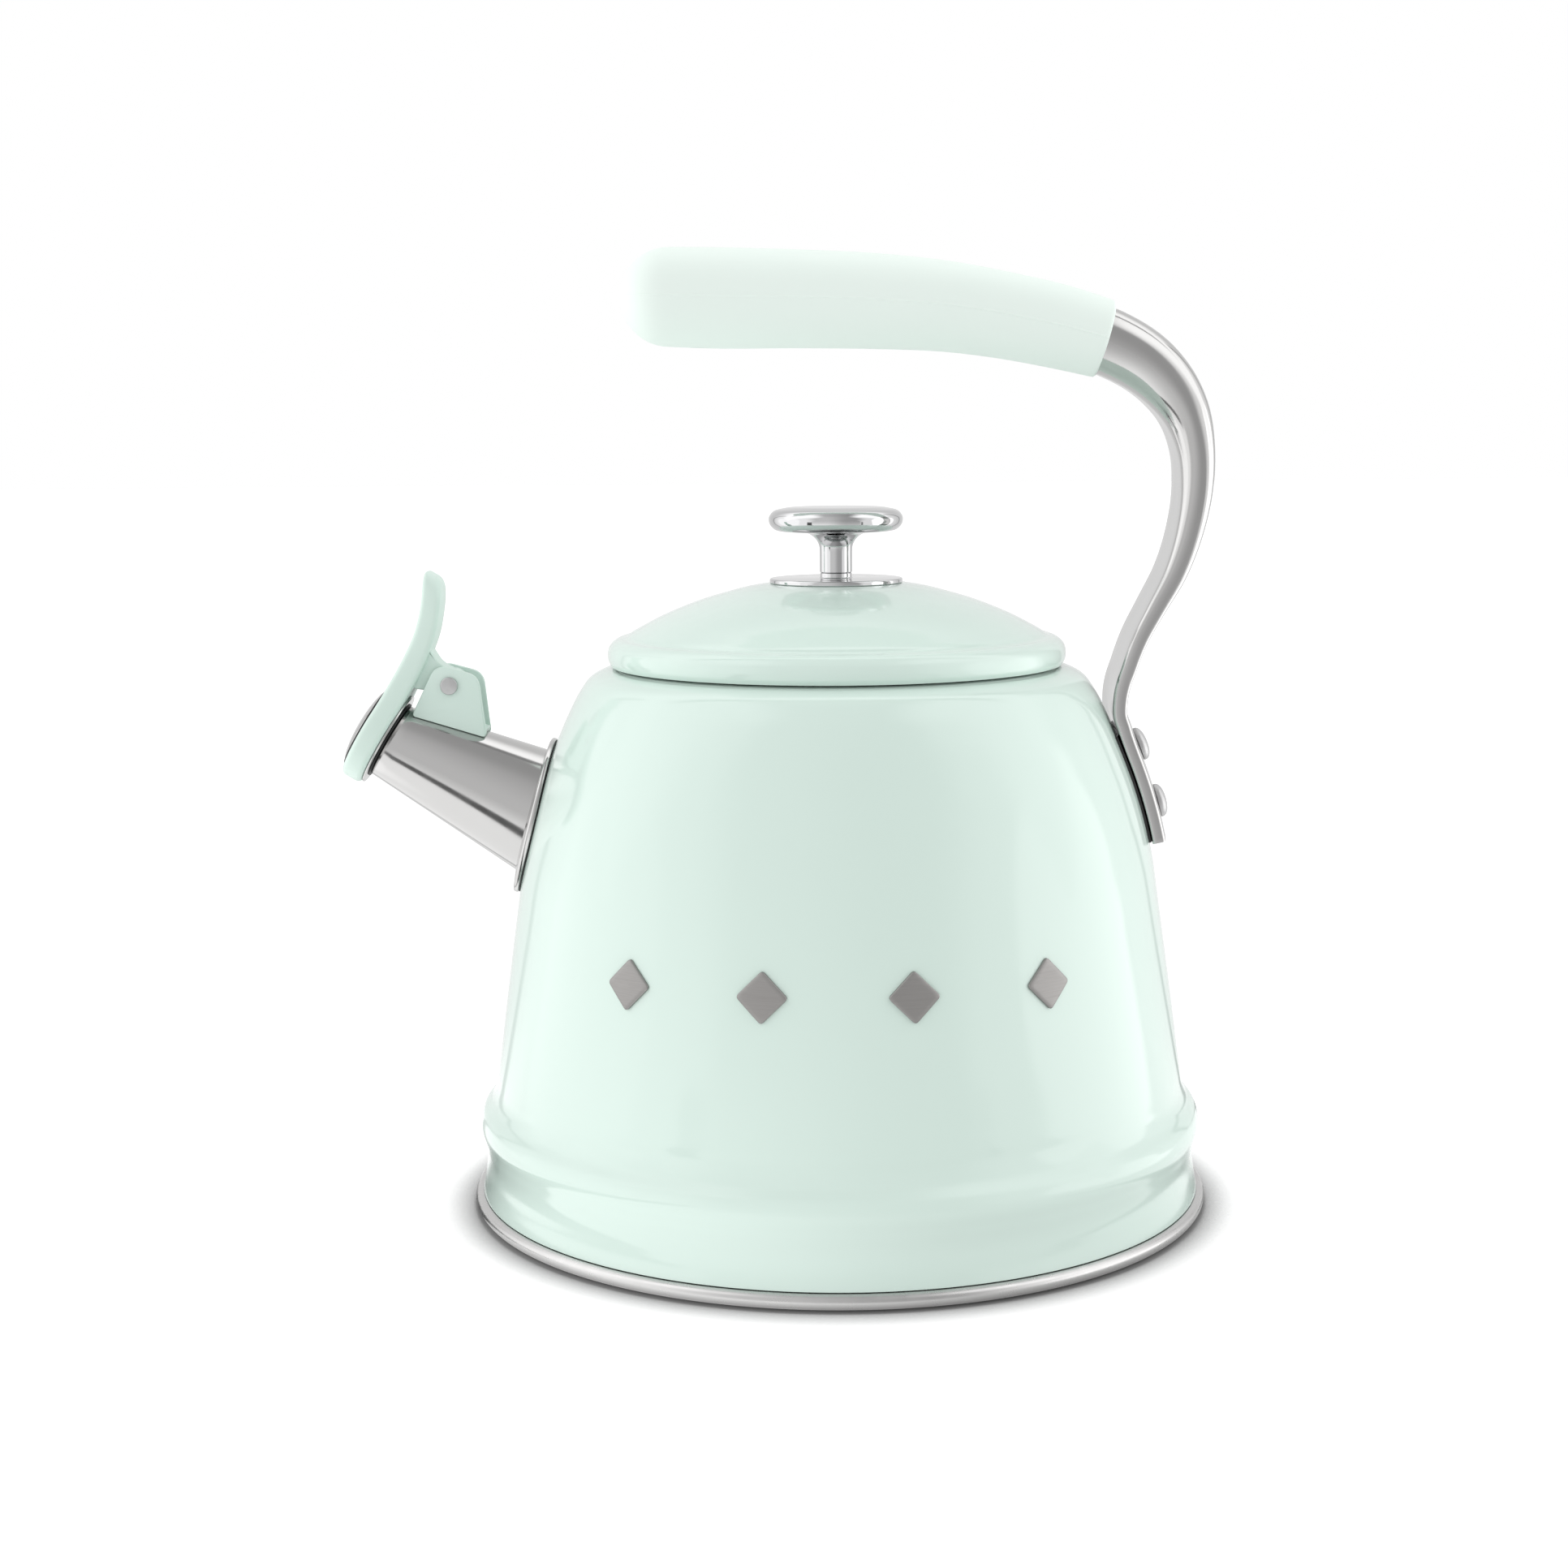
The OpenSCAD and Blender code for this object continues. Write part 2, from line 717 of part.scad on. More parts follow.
module handle_pad() {
    w = half_width(strap_half);
    color(black)
        difference() {
            intersection() {
                rotate([0, 0, -15]) rotate_extrude(angle = 30) polygon(body_patch(strap_low, strap_high, fit, pad_t - fit));
                translate([60, -w, 80]) cube([40, 2 * w, 60]);
            }
            rivet_axes() translate([0, 0, -15]) cylinder(r = rivet_r + fit, h = 25);
        }
}

// Steel strip inside the body that the rivets pull against
backing_t = 1.5;

module rivet_plate() {
    color(steel)
        difference() {
            intersection() {
                rotate([0, 0, -10])
                    rotate_extrude(angle = 20)
                        polygon(body_patch(103, 134, -body_wall - gap - backing_t, -body_wall - gap));
                translate([60, -8, 80]) cube([40, 16, 60]);
            }
            rivet_axes() translate([0, 0, -15]) cylinder(r = rivet_r + fit, h = 25);
        }
}

module handle_rivets() {
    deep = pad_t + 2 * gap + 2 * strap_half + body_wall + backing_t + 0.4;
    dome = [for (a = [0 : 10 : 90]) [rivet_head_r * cos(a), 0.7 + (head_height - 0.7) * sin(a)]];
    color(steel)
        rivet_axes()
            rotate_extrude()
                polygon(concat(
                    [
                        [0, -deep - 1.4], [rivet_r + 1.2, -deep - 1.4], [rivet_r + 1.5, -deep],
                        [rivet_r, -deep], [rivet_r, 0.3], [rivet_head_r, 0.3]
                    ],
                    dome
                ));
}

// --- Drawing --------------------------------------------------------------------------

body_shell();
base_pan();
heat_disc();
base_plate();
front_ornaments();
spout_tube();
spout_collar();
spout_seal();
hinge_bracket();
hinge_pin();
hinge_spring();
whistle_lever();
whistle_plate();
whistle_cover();
whistle_seal();
lid_shell();
lid_skirt();
lid_seal();
knob();
knob_plate();
knob_screw();
knob_washer();
handle_bar();
handle_grip();
handle_pad();
handle_rivets();
rivet_plate();
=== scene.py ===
"""Looks of the stovetop whistling kettle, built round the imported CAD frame.

Lengths are millimetres until a mesh is made, where MM turns them into metres.
Origin: centre of the base's rest face. +Z is up, the spout points to -X, the handle is at +X
and -Y is the front.
"""

import json
import math

import bmesh
import bpy
import numpy as np
from mathutils import Matrix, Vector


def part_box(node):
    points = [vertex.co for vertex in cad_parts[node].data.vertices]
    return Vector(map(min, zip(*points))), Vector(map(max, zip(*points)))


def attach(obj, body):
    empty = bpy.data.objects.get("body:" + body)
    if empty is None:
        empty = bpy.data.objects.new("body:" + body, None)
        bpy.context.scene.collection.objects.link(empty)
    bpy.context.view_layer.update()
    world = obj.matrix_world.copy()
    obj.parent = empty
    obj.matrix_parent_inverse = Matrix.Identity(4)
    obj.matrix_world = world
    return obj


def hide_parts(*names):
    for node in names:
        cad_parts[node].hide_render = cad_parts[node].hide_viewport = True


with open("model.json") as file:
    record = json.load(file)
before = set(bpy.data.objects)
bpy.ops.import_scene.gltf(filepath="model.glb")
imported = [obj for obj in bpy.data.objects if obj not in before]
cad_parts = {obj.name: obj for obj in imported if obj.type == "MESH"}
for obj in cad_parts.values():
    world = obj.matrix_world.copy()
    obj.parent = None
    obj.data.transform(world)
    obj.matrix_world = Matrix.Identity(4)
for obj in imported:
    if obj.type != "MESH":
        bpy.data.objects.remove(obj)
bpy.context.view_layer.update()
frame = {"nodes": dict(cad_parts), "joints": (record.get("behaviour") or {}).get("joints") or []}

MM = 0.001
Y_AXIS = np.array([0.0, 1.0, 0.0])


def cosd(a):
    return np.cos(np.radians(a))


def sind(a):
    return np.sin(np.radians(a))


def tand(a):
    return np.tan(np.radians(a))


def box(node):
    """Lowest and highest corner of a CAD node, in millimetres."""
    low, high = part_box(node)
    return np.array(low) / MM, np.array(high) / MM


# --- Curves ---------------------------------------------------------------------------


def smooth(points, steps):
    """Smooth curve through the points, with a number of steps between neighbours."""
    p = np.array(points, float)
    gap = np.linalg.norm(np.diff(p, axis=0), axis=1)[:, None]
    way = np.diff(p, axis=0) / gap
    slope = np.vstack([way[:1], (way[:-1] * gap[1:] + way[1:] * gap[:-1]) / (gap[1:] + gap[:-1]), way[-1:]])
    out = []
    for i in range(len(p) - 1):
        for t in np.arange(steps) / steps:
            out.append(
                (1 + 2 * t) * (1 - t) ** 2 * p[i]
                + t * (1 - t) ** 2 * gap[i] * slope[i]
                + t * t * (3 - 2 * t) * p[i + 1]
                + t * t * (t - 1) * gap[i] * slope[i + 1]
            )
    return np.array(out + [p[-1]])


def parallel(p, d):
    """The curve moved sideways, to its left, by d."""
    p = np.array(p, float)
    n = len(p) - 1
    way = np.array([p[min(i + 1, n)] - p[max(i - 1, 0)] for i in range(n + 1)])
    way /= np.linalg.norm(way, axis=1)[:, None]
    return p + d * np.stack([-way[:, 1], way[:, 0]], 1)


def rounded(points, reach, steps=5):
    """Closed polygon with each corner eased over the distance that reach gives for it."""
    p = np.array(points, float)
    n = len(p)
    reach = [reach] * n if np.isscalar(reach) else reach
    out = []
    for i in range(n):
        a, b, c = p[i - 1], p[i], p[(i + 1) % n]
        if reach[i] == 0:
            out.append(b)
            continue
        start = b + reach[i] * (a - b) / np.linalg.norm(a - b)
        end = b + reach[i] * (c - b) / np.linalg.norm(c - b)
        for t in np.linspace(0, 1, steps + 1):
            out.append((1 - t) ** 2 * start + 2 * t * (1 - t) * b + t * t * end)
    return np.array(out)


def evenly(p, count, closed=False):
    """count points at even distances along the curve."""
    q = np.vstack([p, p[:1]]) if closed else np.array(p)
    run = np.concatenate([[0], np.cumsum(np.linalg.norm(np.diff(q, axis=0), axis=1))])
    at = np.linspace(0, run[-1], count + 1)[:-1] if closed else np.linspace(0, run[-1], count)
    return np.stack([np.interp(at, run, q[:, k]) for k in range(q.shape[1])], 1)


def bisect(f, low, high, steps=40):
    """Where f, positive at low and negative at high, crosses zero."""
    for _ in range(steps):
        mid = (low + high) / 2
        if f(mid) > 0:
            low = mid
        else:
            high = mid
    return (low + high) / 2


# --- Meshes ---------------------------------------------------------------------------


def add_mesh(name, verts, faces, body, slot, finish, nodes=(), sharp=35.0):
    """Makes a piece of the object, in millimetres, that rides on a body and stands for CAD nodes."""
    mesh = bpy.data.meshes.new(name)
    mesh.from_pydata((np.array(verts, float) * MM).tolist(), [], [list(map(int, f)) for f in faces])
    bm = bmesh.new()
    bm.from_mesh(mesh)
    bmesh.ops.remove_doubles(bm, verts=bm.verts, dist=2e-7)
    bmesh.ops.dissolve_degenerate(bm, edges=bm.edges, dist=1e-7)
    bmesh.ops.recalc_face_normals(bm, faces=bm.faces)
    bm.to_mesh(mesh)
    bm.free()
    mesh.shade_smooth()
    mesh.set_sharp_from_angle(angle=math.radians(sharp))
    obj = bpy.data.objects.new(name, mesh)
    bpy.context.scene.collection.objects.link(obj)
    obj.data.materials.append(finish)
    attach(obj, body)
    if nodes:
        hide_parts(*nodes)
    return obj


def grid_faces(rows, columns, wrap_rows, wrap_columns):
    """Quads of a grid whose vertex (i, j) has index i * columns + j."""
    faces = []
    for i in range(rows if wrap_rows else rows - 1):
        for j in range(columns if wrap_columns else columns - 1):
            a, b = i, (i + 1) % rows
            c, d = j, (j + 1) % columns
            faces.append([a * columns + c, a * columns + d, b * columns + d, b * columns + c])
    return faces


def skin(rings, cap_start=True, cap_end=True, wrap=False):
    """Vertices and faces of a tube through rings that have the same number of points."""
    rings = np.array(rings, float)
    rows, columns = rings.shape[:2]
    faces = grid_faces(rows, columns, wrap, True)
    if cap_start and not wrap:
        faces.append(list(range(columns)))
    if cap_end and not wrap:
        faces.append(list(range((rows - 1) * columns, rows * columns)))
    return rings.reshape(-1, 3), faces


def lathe(profile, segments, place=None, closed=True):
    """Vertices and faces of a profile of radius and height turned round Z, then put in place."""
    p = np.array(profile, float)
    a = np.arange(segments) * 2 * np.pi / segments
    rings = np.stack(
        [np.outer(np.cos(a), p[:, 0]), np.outer(np.sin(a), p[:, 0]), np.tile(p[:, 1], (segments, 1))], -1
    )
    faces = grid_faces(segments, len(p), True, closed)
    verts = rings.reshape(-1, 3)
    return (verts if place is None else place(verts)), faces


def plate(outline_at, y_from, y_to, rounding, steps=4):
    """A plate across Y with eased edges. outline_at gives its outline in X and Z at a height Y."""
    rings = []
    side = 1 if y_to > y_from else -1
    angles = np.linspace(0, np.pi / 2, steps + 1)
    turns = [(rounding * (1 - math.cos(t)), rounding * (1 - math.sin(t))) for t in angles]
    levels = [(y_from + side * rise, inset) for inset, rise in reversed(turns)]
    levels += [(y_to - side * rise, inset) for inset, rise in turns]
    for y, inset in levels:
        q = np.array(outline_at(y), float)
        way = np.roll(q, -1, 0) - np.roll(q, 1, 0)
        way /= np.linalg.norm(way, axis=1)[:, None]
        area = np.sum(q[:, 0] * np.roll(q[:, 1], -1) - np.roll(q[:, 0], -1) * q[:, 1])
        q = q + inset * np.sign(area) * np.stack([-way[:, 1], way[:, 0]], 1)
        rings.append(np.stack([q[:, 0], np.full(len(q), y), q[:, 1]], 1))
    return skin(rings)


def joined(*parts):
    """Several lists of vertices and faces as one."""
    verts, faces, start = [], [], 0
    for v, f in parts:
        verts.append(np.array(v, float))
        faces += [[start + k for k in face] for face in f]
        start += len(v)
    return np.vstack(verts), faces


# --- Materials ------------------------------------------------------------------------


class Tree:
    """Short names for the shader nodes that the finishes are made of."""

    def __init__(self, owner):
        owner.use_nodes = True
        self.nodes = owner.node_tree.nodes
        self.links = owner.node_tree.links
        self.nodes.clear()

    def add(self, kind, **settings):
        n = self.nodes.new(kind)
        for k, v in settings.items():
            setattr(n, k, v)
        return n

    def feed(self, socket, value):
        if isinstance(value, bpy.types.NodeSocket):
            self.links.new(value, socket)
        else:
            socket.default_value = value

    def math(self, operation, a, b=0.0, c=0.0):
        n = self.add("ShaderNodeMath", operation=operation)
        for socket, value in zip(n.inputs, (a, b, c)):
            self.feed(socket, value)
        return n.outputs[0]

    def steps(self, value, low, high, to_low=0.0, to_high=1.0):
        """value from low to high turned smoothly into to_low to to_high."""
        n = self.add("ShaderNodeMapRange", interpolation_type="SMOOTHSTEP")
        for socket, v in zip(n.inputs, (value, low, high, to_low, to_high)):
            self.feed(socket, v)
        return n.outputs[0]

    def mix(self, factor, a, b):
        n = self.add("ShaderNodeMix", data_type="RGBA")
        self.feed(n.inputs[0], factor)
        self.feed(n.inputs[6], a)
        self.feed(n.inputs[7], b)
        return n.outputs[2]

    def noise(self, scale, detail=2.0, stretch=(1, 1, 1), rough=0.5):
        place = self.add("ShaderNodeTexCoord").outputs["Object"]
        mapping = self.add("ShaderNodeMapping")
        mapping.inputs["Scale"].default_value = stretch
        self.links.new(place, mapping.inputs["Vector"])
        n = self.add("ShaderNodeTexNoise")
        n.inputs["Scale"].default_value = scale
        n.inputs["Detail"].default_value = detail
        n.inputs["Roughness"].default_value = rough
        self.links.new(mapping.outputs[0], n.inputs["Vector"])
        return n.outputs["Fac"]

    def bump(self, height, depth, after=None):
        """Normal of a relief whose height from 0 to 1 stands for depth metres."""
        n = self.add("ShaderNodeBump")
        n.inputs["Strength"].default_value = 1.0
        n.inputs["Distance"].default_value = depth
        self.links.new(height, n.inputs["Height"])
        if after is not None:
            self.links.new(after, n.inputs["Normal"])
        return n.outputs[0]


def shade(color, factor):
    return tuple(min(1.0, c * factor) for c in color) + (1.0,)


def finish_of(name, color, metallic, rough, tint=0.02, tint_scale=20.0, peel=(), streak=None, **sockets):
    """A finish with uneven colour and gloss and, in peel, reliefs as (scale, depth, detail)."""
    m = bpy.data.materials.new(name)
    t = Tree(m)
    out = t.add("ShaderNodeOutputMaterial")
    p = t.add("ShaderNodeBsdfPrincipled")
    t.links.new(p.outputs[0], out.inputs[0])
    patch = t.noise(tint_scale, 3.0, streak or (1, 1, 1))
    t.feed(p.inputs["Base Color"], t.mix(patch, shade(color, 1 - tint), shade(color, 1 + tint)))
    smear = t.noise(tint_scale * 4, 4.0, streak or (1, 1, 1))
    t.feed(p.inputs["Roughness"], t.steps(smear, 0.3, 0.7, rough[0], rough[1]))
    p.inputs["Metallic"].default_value = metallic
    normal = None
    for scale, depth, detail in peel:
        normal = t.bump(t.noise(scale, detail, streak or (1, 1, 1)), depth, normal)
    if normal is not None:
        t.links.new(normal, p.inputs["Normal"])
    for key, value in sockets.items():
        p.inputs[key.replace("_", " ")].default_value = value
    return m


MINT = (0.672, 0.808, 0.744)
GRIP_MINT = (0.835, 0.925, 0.875)

enamel = finish_of(
    "enamel", MINT, 0.0, (0.07, 0.11), tint=0.012, tint_scale=14,
    peel=[(90, 5.0e-6, 1.0), (900, 8.0e-7, 2.0)], Coat_Weight=0.35, Coat_Roughness=0.03, IOR=1.45,
)
lever_plastic = finish_of(
    "lever_plastic", MINT, 0.0, (0.3, 0.38), tint=0.012, tint_scale=30,
    peel=[(2600, 4.0e-6, 2.0)], IOR=1.46,
)
grip_plastic = finish_of(
    "grip_plastic", GRIP_MINT, 0.0, (0.5, 0.58), tint=0.01, tint_scale=16,
    peel=[(1800, 9.0e-6, 3.0), (60, 4.0e-5, 2.0)], IOR=1.33,
)
polished = finish_of(
    "polished_steel", (0.54, 0.535, 0.53), 1.0, (0.10, 0.15), tint=0.015, tint_scale=30,
    peel=[(350, 3.0e-7, 3.0)],
)
chrome = finish_of("chrome", (0.58, 0.58, 0.585), 1.0, (0.03, 0.06), tint=0.01, tint_scale=60)
brushed = finish_of(
    "brushed_steel", (0.33, 0.32, 0.312), 1.0, (0.46, 0.56), tint=0.08, tint_scale=40,
    streak=(2, 2, 60), peel=[(90, 3.0e-6, 4.0)],
)
satin = finish_of(
    "satin_steel", (0.47, 0.47, 0.47), 1.0, (0.22, 0.34), tint=0.03, tint_scale=60,
    peel=[(700, 2.0e-6, 3.0)],
)
rivet_steel = finish_of(
    "rivet_steel", (0.53, 0.53, 0.53), 1.0, (0.38, 0.5), tint=0.06, tint_scale=900,
    peel=[(1400, 1.2e-5, 3.0)],
)
aluminium = finish_of(
    "aluminium", (0.56, 0.56, 0.57), 1.0, (0.3, 0.4), tint=0.03, tint_scale=80, peel=[(500, 3.0e-6, 3.0)],
)
bead_steel = finish_of(
    "bead_steel", (0.57, 0.565, 0.56), 1.0, (0.26, 0.34), tint=0.02, tint_scale=60,
    peel=[(900, 1.5e-6, 3.0)],
)
silicone = finish_of(
    "silicone", (0.012, 0.012, 0.012), 0.0, (0.42, 0.55), tint=0.2, tint_scale=60,
    peel=[(1500, 6.0e-6, 2.0)],
)

# --- Sizes shared by the pieces -------------------------------------------------------

base_h = 4.5
body_r = 101.0
sheet_t = 1.0
neck_r = 57.8
lid_r = 63.4
lid_top = 173.1
knob_plate_r = 18.4
mouth = np.array([-125.0, 0.0, 129.8])
mouth_r = 10.8
spout_wall = 1.0
spout_tilt = 26.2
spout_taper = 8.25
mouth_tilt = 31.0
spout_axis = np.array([cosd(spout_tilt), 0, -sind(spout_tilt)])
spout_up = np.array([sind(spout_tilt), 0, cosd(spout_tilt)])
hinge = next(j for j in frame["joints"] if j["name"] == "whistle_hinge")
pin_x, _, pin_z = [v / MM for v in hinge["pos_m"]]

# --- Body -----------------------------------------------------------------------------

body_line = smooth(
    [
        (body_r, base_h + 0.25), (body_r - 0.9, 9.5), (body_r - 1.4, 14.5), (body_r - 0.7, 19),
        (body_r + 0.2, 23.5), (body_r - 0.6, 27), (body_r - 3, 30), (body_r - 4.4, 33.5),
        (body_r - 5.1, 38), (93.5, 56), (89.6, 84), (87.4, 99), (85.3, 108.5), (82.3, 118.5),
        (78.7, 128), (74.4, 138), (71.2, 144), (68.4, 147.6), (65.6, 149.2), (62.5, 150.2), (60, 150.6),
        (neck_r + 0.6, 150), (neck_r, 148.4), (neck_r, 142),
    ],
    6,
)
side_line = body_line[(body_line[:, 1] > 80) & (body_line[:, 1] < 142) & (body_line[:, 0] > neck_r + 3)]


def body_at(z):
    """Radius of the body's outside at height z."""
    return np.interp(z, side_line[:, 1], side_line[:, 0])


def off_body(point):
    """How far a point is outside the body, along the radius."""
    return math.hypot(point[0], point[1]) - body_at(point[2])


def spout_point(s, theta, extra=0.0):
    """Point of the spout's cone, thickened by extra, at s from the mouth's centre along the axis."""
    r = mouth_r + extra / cosd(spout_taper) + s * tand(spout_taper)
    return mouth + s * spout_axis + r * (math.cos(theta) * spout_up + math.sin(theta) * Y_AXIS)


def spout_mouth(theta, extra=0.0):
    """Where that line of the cone meets the mouth's plane."""
    lean = spout_tilt - mouth_tilt
    r = mouth_r + extra / cosd(spout_taper)
    c = math.cos(theta) * sind(lean)
    return -r * c / (cosd(lean) + tand(spout_taper) * c)


def spout_root(theta, extra=0.0, off=0.1):
    """Where that line of the cone comes to the body."""
    return bisect(lambda s: off_body(spout_point(s, theta, extra)) - off, 25.0, 62.0)


def cone_solid(extra, start, end, segments):
    """A plain length of the spout's cone, for cutting."""
    a = np.arange(segments) * 2 * np.pi / segments
    return skin([[spout_point(s, t, extra) for t in a] for s in (start, end)])


def cut(obj, verts, faces):
    """Takes a closed shape away from a piece."""
    tool_mesh = bpy.data.meshes.new("tool")
    tool_mesh.from_pydata((np.array(verts) * MM).tolist(), [], [list(map(int, f)) for f in faces])
    bm = bmesh.new()
    bm.from_mesh(tool_mesh)
    bmesh.ops.recalc_face_normals(bm, faces=bm.faces)
    bm.to_mesh(tool_mesh)
    bm.free()
    tool = bpy.data.objects.new("tool", tool_mesh)
    bpy.context.scene.collection.objects.link(tool)
    modifier = obj.modifiers.new("cut", "BOOLEAN")
    modifier.object = tool
    modifier.solver = "EXACT"
    bpy.context.view_layer.update()
    result = bpy.data.meshes.new_from_object(obj.evaluated_get(bpy.context.evaluated_depsgraph_get()))
    obj.modifiers.clear()
    obj.data = result
    bpy.data.objects.remove(tool)
    result.shade_smooth()
    result.set_sharp_from_angle(angle=math.radians(35))


body_loop = np.vstack([body_line, parallel(body_line, sheet_t)[::-1]])
kettle_body = add_mesh(
    "kettle_body", *lathe(body_loop, 240), "kettle", "mint_enamel", enamel, ["body_shell"]
)
cut(kettle_body, *cone_solid(-spout_wall, 30.0, 56.0, 48))

# Rolled steel bead round the base, with the flat pan that it edges
bead_r = 2.04
bead = [(body_r + 0.1 + bead_r * cosd(a), base_h - bead_r + bead_r * sind(a)) for a in range(-150, 151, 10)]
pan_t = 1.0
pan_line = [(0.0, base_h - pan_t), (body_r - 2.2, base_h - pan_t)]
pan_line += bead + [(body_r - 2.6, base_h), (0.0, base_h)]
add_mesh(
    "base_bead", *lathe(pan_line, 256, closed=False), "kettle", "satin_steel", bead_steel, ["base_pan"]
)

# --- Front ornaments ------------------------------------------------------------------

ornament_low, ornament_high = box("front_ornaments")
ornament_z = (ornament_low[2] + ornament_high[2]) / 2
ornament_half = (ornament_high[2] - ornament_low[2]) / 2
ornament_t = 0.8
ornament_edge = 0.25
# How far a lozenge's corner moves in when its sides move in by one
corner_inset = 1.42


def front_radius(z):
    """Radius of the body's front at height z, from the bottom edge up."""
    return np.interp(z, body_line[:, 1][:90], body_line[:, 0][:90])


def ornament(angle):
    """A lozenge with eased corners and edges that lies on the body's front."""
    h = ornament_half
    outline = evenly(rounded([(h, 0), (0, h), (-h, 0), (0, -h)], 1.0), 96, True)
    eased = [(0.0, ornament_t - ornament_edge), (0.08, ornament_t - 0.1), (ornament_edge, ornament_t)]
    rings = [(outline, 0.05)]
    rings += [(outline * (1 - inset * corner_inset / h), rise) for inset, rise in eased]
    rings += [(outline * share, ornament_t) for share in (0.75, 0.5, 0.25, 0.02)]
    out = []
    for q, rise in rings:
        z = ornament_z + q[:, 1]
        r = front_radius(z)
        a = q[:, 0] / r + math.radians(angle)
        out.append(np.stack([(r + rise) * np.sin(a), -(r + rise) * np.cos(a), z], 1))
    return skin(out)


add_mesh(
    "front_lozenges", *joined(*[ornament(a) for a in (-35.7, -12, 12, 35.7)]),
    "kettle", "brushed_steel", brushed, ["front_ornaments"],
)

# --- Spout ----------------------------------------------------------------------------

theta = np.arange(128) * 2 * np.pi / 128


def spout_loop(t):
    """One line of the spout's wall: up the outside, over the lip and down the inside."""
    lip_r = spout_wall / 2
    top = spout_mouth(t) + lip_r
    outside = [spout_point(s, t) for s in np.linspace(spout_root(t), top, 16)]
    lip = [
        spout_point(top - lip_r * math.sin(a), t, lip_r * math.cos(a) - lip_r)
        for a in np.linspace(0, np.pi, 9)[1:-1]
    ]
    inner_root = spout_root(t, -spout_wall, -0.6)
    inside = [spout_point(s, t, -spout_wall) for s in np.linspace(top, inner_root, 8)]
    return outside + lip + inside


spout_rings = np.array([spout_loop(t) for t in theta])
add_mesh(
    "spout_cone", *skin(spout_rings, wrap=True), "kettle", "polished_steel", polished, ["spout_tube"]
)

collar_centre = np.array([-85.2, 0.0, 108.6])
collar_tilt = 15.9
collar_r = 22.3
collar_axis = np.array([-cosd(collar_tilt), 0, sind(collar_tilt)])
collar_up = np.array([sind(collar_tilt), 0, cosd(collar_tilt)])


def collar_point(rho, phi, off):
    """Point round the collar's axis that stands off the body by off."""
    base = collar_centre + rho * (math.cos(phi) * collar_up + math.sin(phi) * Y_AXIS)
    k = bisect(lambda k: off - off_body(base + k * collar_axis), -12.0, 12.0)
    return base + k * collar_axis


def cone_gap(p):
    """How far a point is outside the spout's cone."""
    s = (p - mouth) @ spout_axis
    return np.linalg.norm(p - mouth - s * spout_axis) - mouth_r - s * tand(spout_taper)


def collar_loop(phi, low, high, rim):
    """One line across the collar: from the cone over its face, round its rim and back below."""
    inner = bisect(lambda r: 0.05 - cone_gap(collar_point(r, phi, (low + high) / 2)), 6.0, rim)
    ease = min(0.55, (high - low) / 2)
    line = [(inner, low)] + [(inner, high - 0.3), (inner + 0.25, high)]
    line += [(r, high) for r in np.linspace(inner + 0.6, rim - ease, 5)]
    line += [(rim - ease + ease * sind(a), high - ease + ease * cosd(a)) for a in (30, 60, 90)]
    line += [(rim - ease + ease * cosd(a), low + ease - ease * sind(a)) for a in (0, 30, 60, 90)]
    return [collar_point(r, phi, off) for r, off in line]


phis = np.arange(96) * 2 * np.pi / 96
add_mesh(
    "spout_flange", *skin([collar_loop(p, 0.4, 1.95, collar_r) for p in phis], wrap=True),
    "kettle", "polished_steel", polished, ["spout_collar"],
)
add_mesh(
    "spout_gasket", *skin([collar_loop(p, 0.05, 0.38, collar_r - 0.3) for p in phis], wrap=True),
    "kettle", "black_silicone", silicone, ["spout_seal"],
)

# --- Hinge ----------------------------------------------------------------------------

bracket_w = 12.0
ear_t = 1.7
saddle_t = 1.6
# Gap between the bracket and the cone that it lies on
lie = 0.15


def on_cone(s, y, extra):
    """Point in X and Z of the cone's upper side at s and at a distance y from the middle."""
    r = mouth_r + extra / cosd(spout_taper) + s * tand(spout_taper)
    rise = math.sqrt(max(r * r - y * y, 0))
    return (
        mouth[0] + s * cosd(spout_tilt) + rise * sind(spout_tilt),
        mouth[2] - s * sind(spout_tilt) + rise * cosd(spout_tilt),
    )


def ear_outline(y):
    """Side view of an ear: free edges above, and the cone's line below."""
    corners = [on_cone(24.2, y, lie), (-99.2, 148.4), (-111, 151.6), on_cone(3.0, y, lie)]
    above = evenly(rounded(corners, [1.4, 3.2, 3.6, 1.2], 8), 110)
    below = [on_cone(s, y, lie) for s in np.linspace(4.2, 22.8, 12)]
    return np.vstack([above, below])


ears = [
    plate(ear_outline, bracket_w / 2 - ear_t, bracket_w / 2, 0.35),
    plate(ear_outline, -bracket_w / 2 + ear_t, -bracket_w / 2, 0.35),
]
saddle_half = bracket_w / 2 - ear_t + 0.2
saddle_y = np.linspace(-saddle_half, saddle_half, 13)
saddle = []
for s in np.linspace(3.6, 23.4, 12):
    top = [(*on_cone(s, y, saddle_t), y) for y in saddle_y]
    low = [(*on_cone(s, y, lie), y) for y in saddle_y[::-1]]
    saddle.append([(x, y, z) for x, z, y in top + low])
add_mesh(
    "hinge_saddle", *joined(*ears, skin(saddle)), "kettle", "mint_enamel", lever_plastic, ["hinge_bracket"]
)


def at_pin(p):
    """From a frame on the pin's axis, with Z towards the front, to the shared frame."""
    p = np.array(p, float)
    return np.stack([pin_x + p[:, 0], -p[:, 2], pin_z + p[:, 1]], 1)


